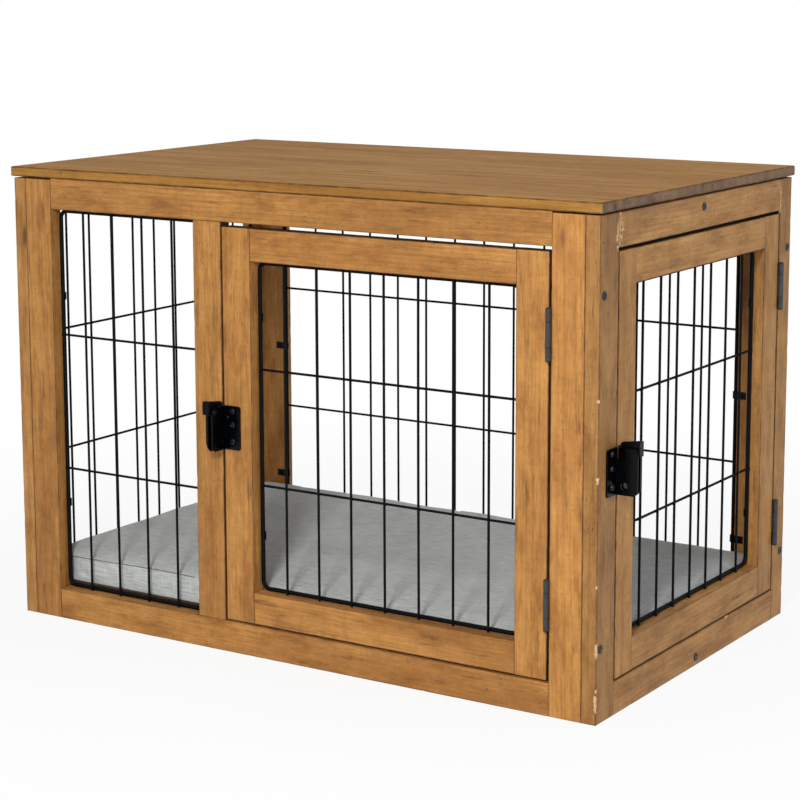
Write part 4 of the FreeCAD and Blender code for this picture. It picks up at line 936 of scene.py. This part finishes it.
def cushion():
    """A boxed cushion: a grid of panels with rounded corners, blown up a little as cloth, then its seam."""
    low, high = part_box("cushion")
    half = Vector(((high.x - low.x) / 2, (high.y - low.y) / 2)) / MM
    band, corner, slack, clear = 32.0, 24.0, 2, 0.2
    wide, deep = half.x - slack, half.y - slack
    nx, ny, nz = 96, 57, 5
    vertices, index, faces = [], {}, []

    def spot(i, j, k):
        if (i, j, k) not in index:
            x, y = (2 * i / nx - 1) * wide, (2 * j / ny - 1) * deep
            dx, dy = abs(x) - (wide - corner), abs(y) - (deep - corner)
            if dx > 0 and dy > 0:
                scale = max(dx, dy) / hypot(dx, dy)
                x = copysign(wide - corner + dx * scale, x)
                y = copysign(deep - corner + dy * scale, y)
            index[i, j, k] = len(vertices)
            vertices.append((x, y, band * k / nz))
        return index[i, j, k]

    for i in range(nx):
        for j in range(ny):
            for k, way in ((0, -1), (nz, 1)):
                face = [spot(i, j, k), spot(i + 1, j, k), spot(i + 1, j + 1, k), spot(i, j + 1, k)]
                faces.append(face[::way])
    for k in range(nz):
        for i in range(nx):
            faces.append([spot(i, 0, k), spot(i + 1, 0, k), spot(i + 1, 0, k + 1), spot(i, 0, k + 1)])
            faces.append([spot(i + 1, ny, k), spot(i, ny, k), spot(i, ny, k + 1), spot(i + 1, ny, k + 1)])
        for j in range(ny):
            faces.append([spot(nx, j, k), spot(nx, j + 1, k), spot(nx, j + 1, k + 1), spot(nx, j, k + 1)])
            faces.append([spot(0, j + 1, k), spot(0, j, k), spot(0, j, k + 1), spot(0, j + 1, k + 1)])
    # each point's number to whether it lies on a side, and its level
    edge = {number: (i in (0, nx) or j in (0, ny), k) for (i, j, k), number in index.items()}
    # start a little rumpled, so that the cloth has folds to keep
    start = []
    for number, (x, y, z) in enumerate(vertices):
        p = Vector((x, y, z))
        on_side, k = edge[number]
        if k == nz and not on_side:
            p.z += (noise.noise(Vector((x / 70, y / 55, 3.1))) * 1.6
                    + noise.noise(Vector((x / 24, y / 20, 7.7))) * 0.5)
        if on_side and k > 0:
            p.z += noise.noise(Vector((x / 60, y / 60, 1.3))) * 1.5 * k / nz
        start.append(p * MM)
    mesh = bpy.data.meshes.new("floor_cushion")
    mesh.from_pydata([tuple(p) for p in start], [], faces)
    piece = bpy.data.objects.new("floor_cushion", mesh)
    scene.collection.objects.link(piece)
    piece.location = ((low.x + high.x) / 2, (low.y + high.y) / 2, low.z)
    blow_up(piece, start, {number: 1.0 if k == 0 else 0.55 if on_side and k == nz else 0.0
                           for number, (on_side, k) in edge.items()})
    # keep clear of the panels and flat on the board
    for vertex in mesh.vertices:
        vertex.co.x = max(-(half.x - clear) * MM, min((half.x - clear) * MM, vertex.co.x))
        vertex.co.y = max(-(half.y - clear) * MM, min((half.y - clear) * MM, vertex.co.y))
        vertex.co.z = max(0.0, vertex.co.z)
    seam = [number for number, (on_side, k) in edge.items() if on_side and k == nz]
    seam.sort(key=lambda n: atan2(vertices[n][1] / half.y, vertices[n][0] / half.x))
    welt = [mesh.vertices[n].co.copy() for n in seam]
    # one subdivision smooths the panels
    work = bmesh.new()
    work.from_mesh(mesh)
    bmesh.ops.subdivide_edges(work, edges=work.edges, cuts=1, use_grid_fill=True, smooth=0.35)
    work.to_mesh(mesh)
    work.free()
    layer = mesh.attributes.new("cloth", "FLOAT_VECTOR", "POINT")
    layer.data.foreach_set("vector", [value for vertex in mesh.vertices
                                      for value in (vertex.co.x, vertex.co.y + vertex.co.z, 0.0)])
    settle(piece, LINEN, "cabin", ["cushion"], 60)
    # the seam's turned allowance, and the shaded fold under it
    place = Matrix.Translation(piece.location)
    seam_line("floor_cushion_seam", LINEN, welt, 0.7, 0.0, 1.3, 0.9, place)
    seam_line("floor_cushion_fold", LINEN_FOLD, welt, 0.1, 1.5, 0.8, 0.9, place)


cushion()


# -------------------- floor and surroundings

def surroundings():
    """A pale floor that reads as white paper and keeps the soft shadow, and a white world around it."""
    bpy.ops.mesh.primitive_plane_add(size=60, location=(0, 0, -0.0006))
    ground = bpy.context.object
    ground.name = "studio_floor"
    s = Shader(bpy.data.materials.new("studio_floor"))
    place = s.add("TexCoord").outputs["Object"]
    away = s.add("VectorMath", {0: place}, operation="LENGTH").outputs["Value"]
    paper_white = s.times(seen_rays(s), s.band(away, 0.55, 1.3, 0.88, 1.0))
    shade = s.mix(colour(244, 244, 244), colour(240, 240, 239), s.noise(place, 3, 2))
    paper = s.add("BsdfPrincipled", {"Base Color": shade, "Roughness": 0.9, "Specular IOR Level": 0.1})
    glow = s.add("Emission", {"Color": (1, 1, 1, 1), "Strength": 1.0})
    both = s.add("MixShader", {0: paper_white, 1: paper.outputs[0], 2: glow.outputs[0]})
    s.tree.links.new(both.outputs[0], s.add("OutputMaterial").inputs[0])
    ground.data.materials.append(s.material)
    scene.world = bpy.data.worlds.new("studio")
    w = Shader(scene.world)
    light = w.add("Background", {"Color": (0.97, 0.985, 1, 1), "Strength": 0.40})
    white = w.add("Background", {"Color": (1, 1, 1, 1), "Strength": 1.0})
    both = w.add("MixShader", {0: seen_rays(w), 1: light.outputs[0], 2: white.outputs[0]})
    w.tree.links.new(both.outputs[0], w.add("OutputWorld").inputs[0])


def seen_rays(s):
    """1 where a ray shows the surroundings, less in a reflection, and 0 where they light the object."""
    rays = s.add("LightPath").outputs
    glossy = s.times(rays["Is Glossy Ray"], 0.6)
    return s.math("MAXIMUM", s.math("MAXIMUM", rays["Is Camera Ray"], glossy), rays["Is Transmission Ray"])


surroundings()
scene.view_settings.view_transform = "Standard"
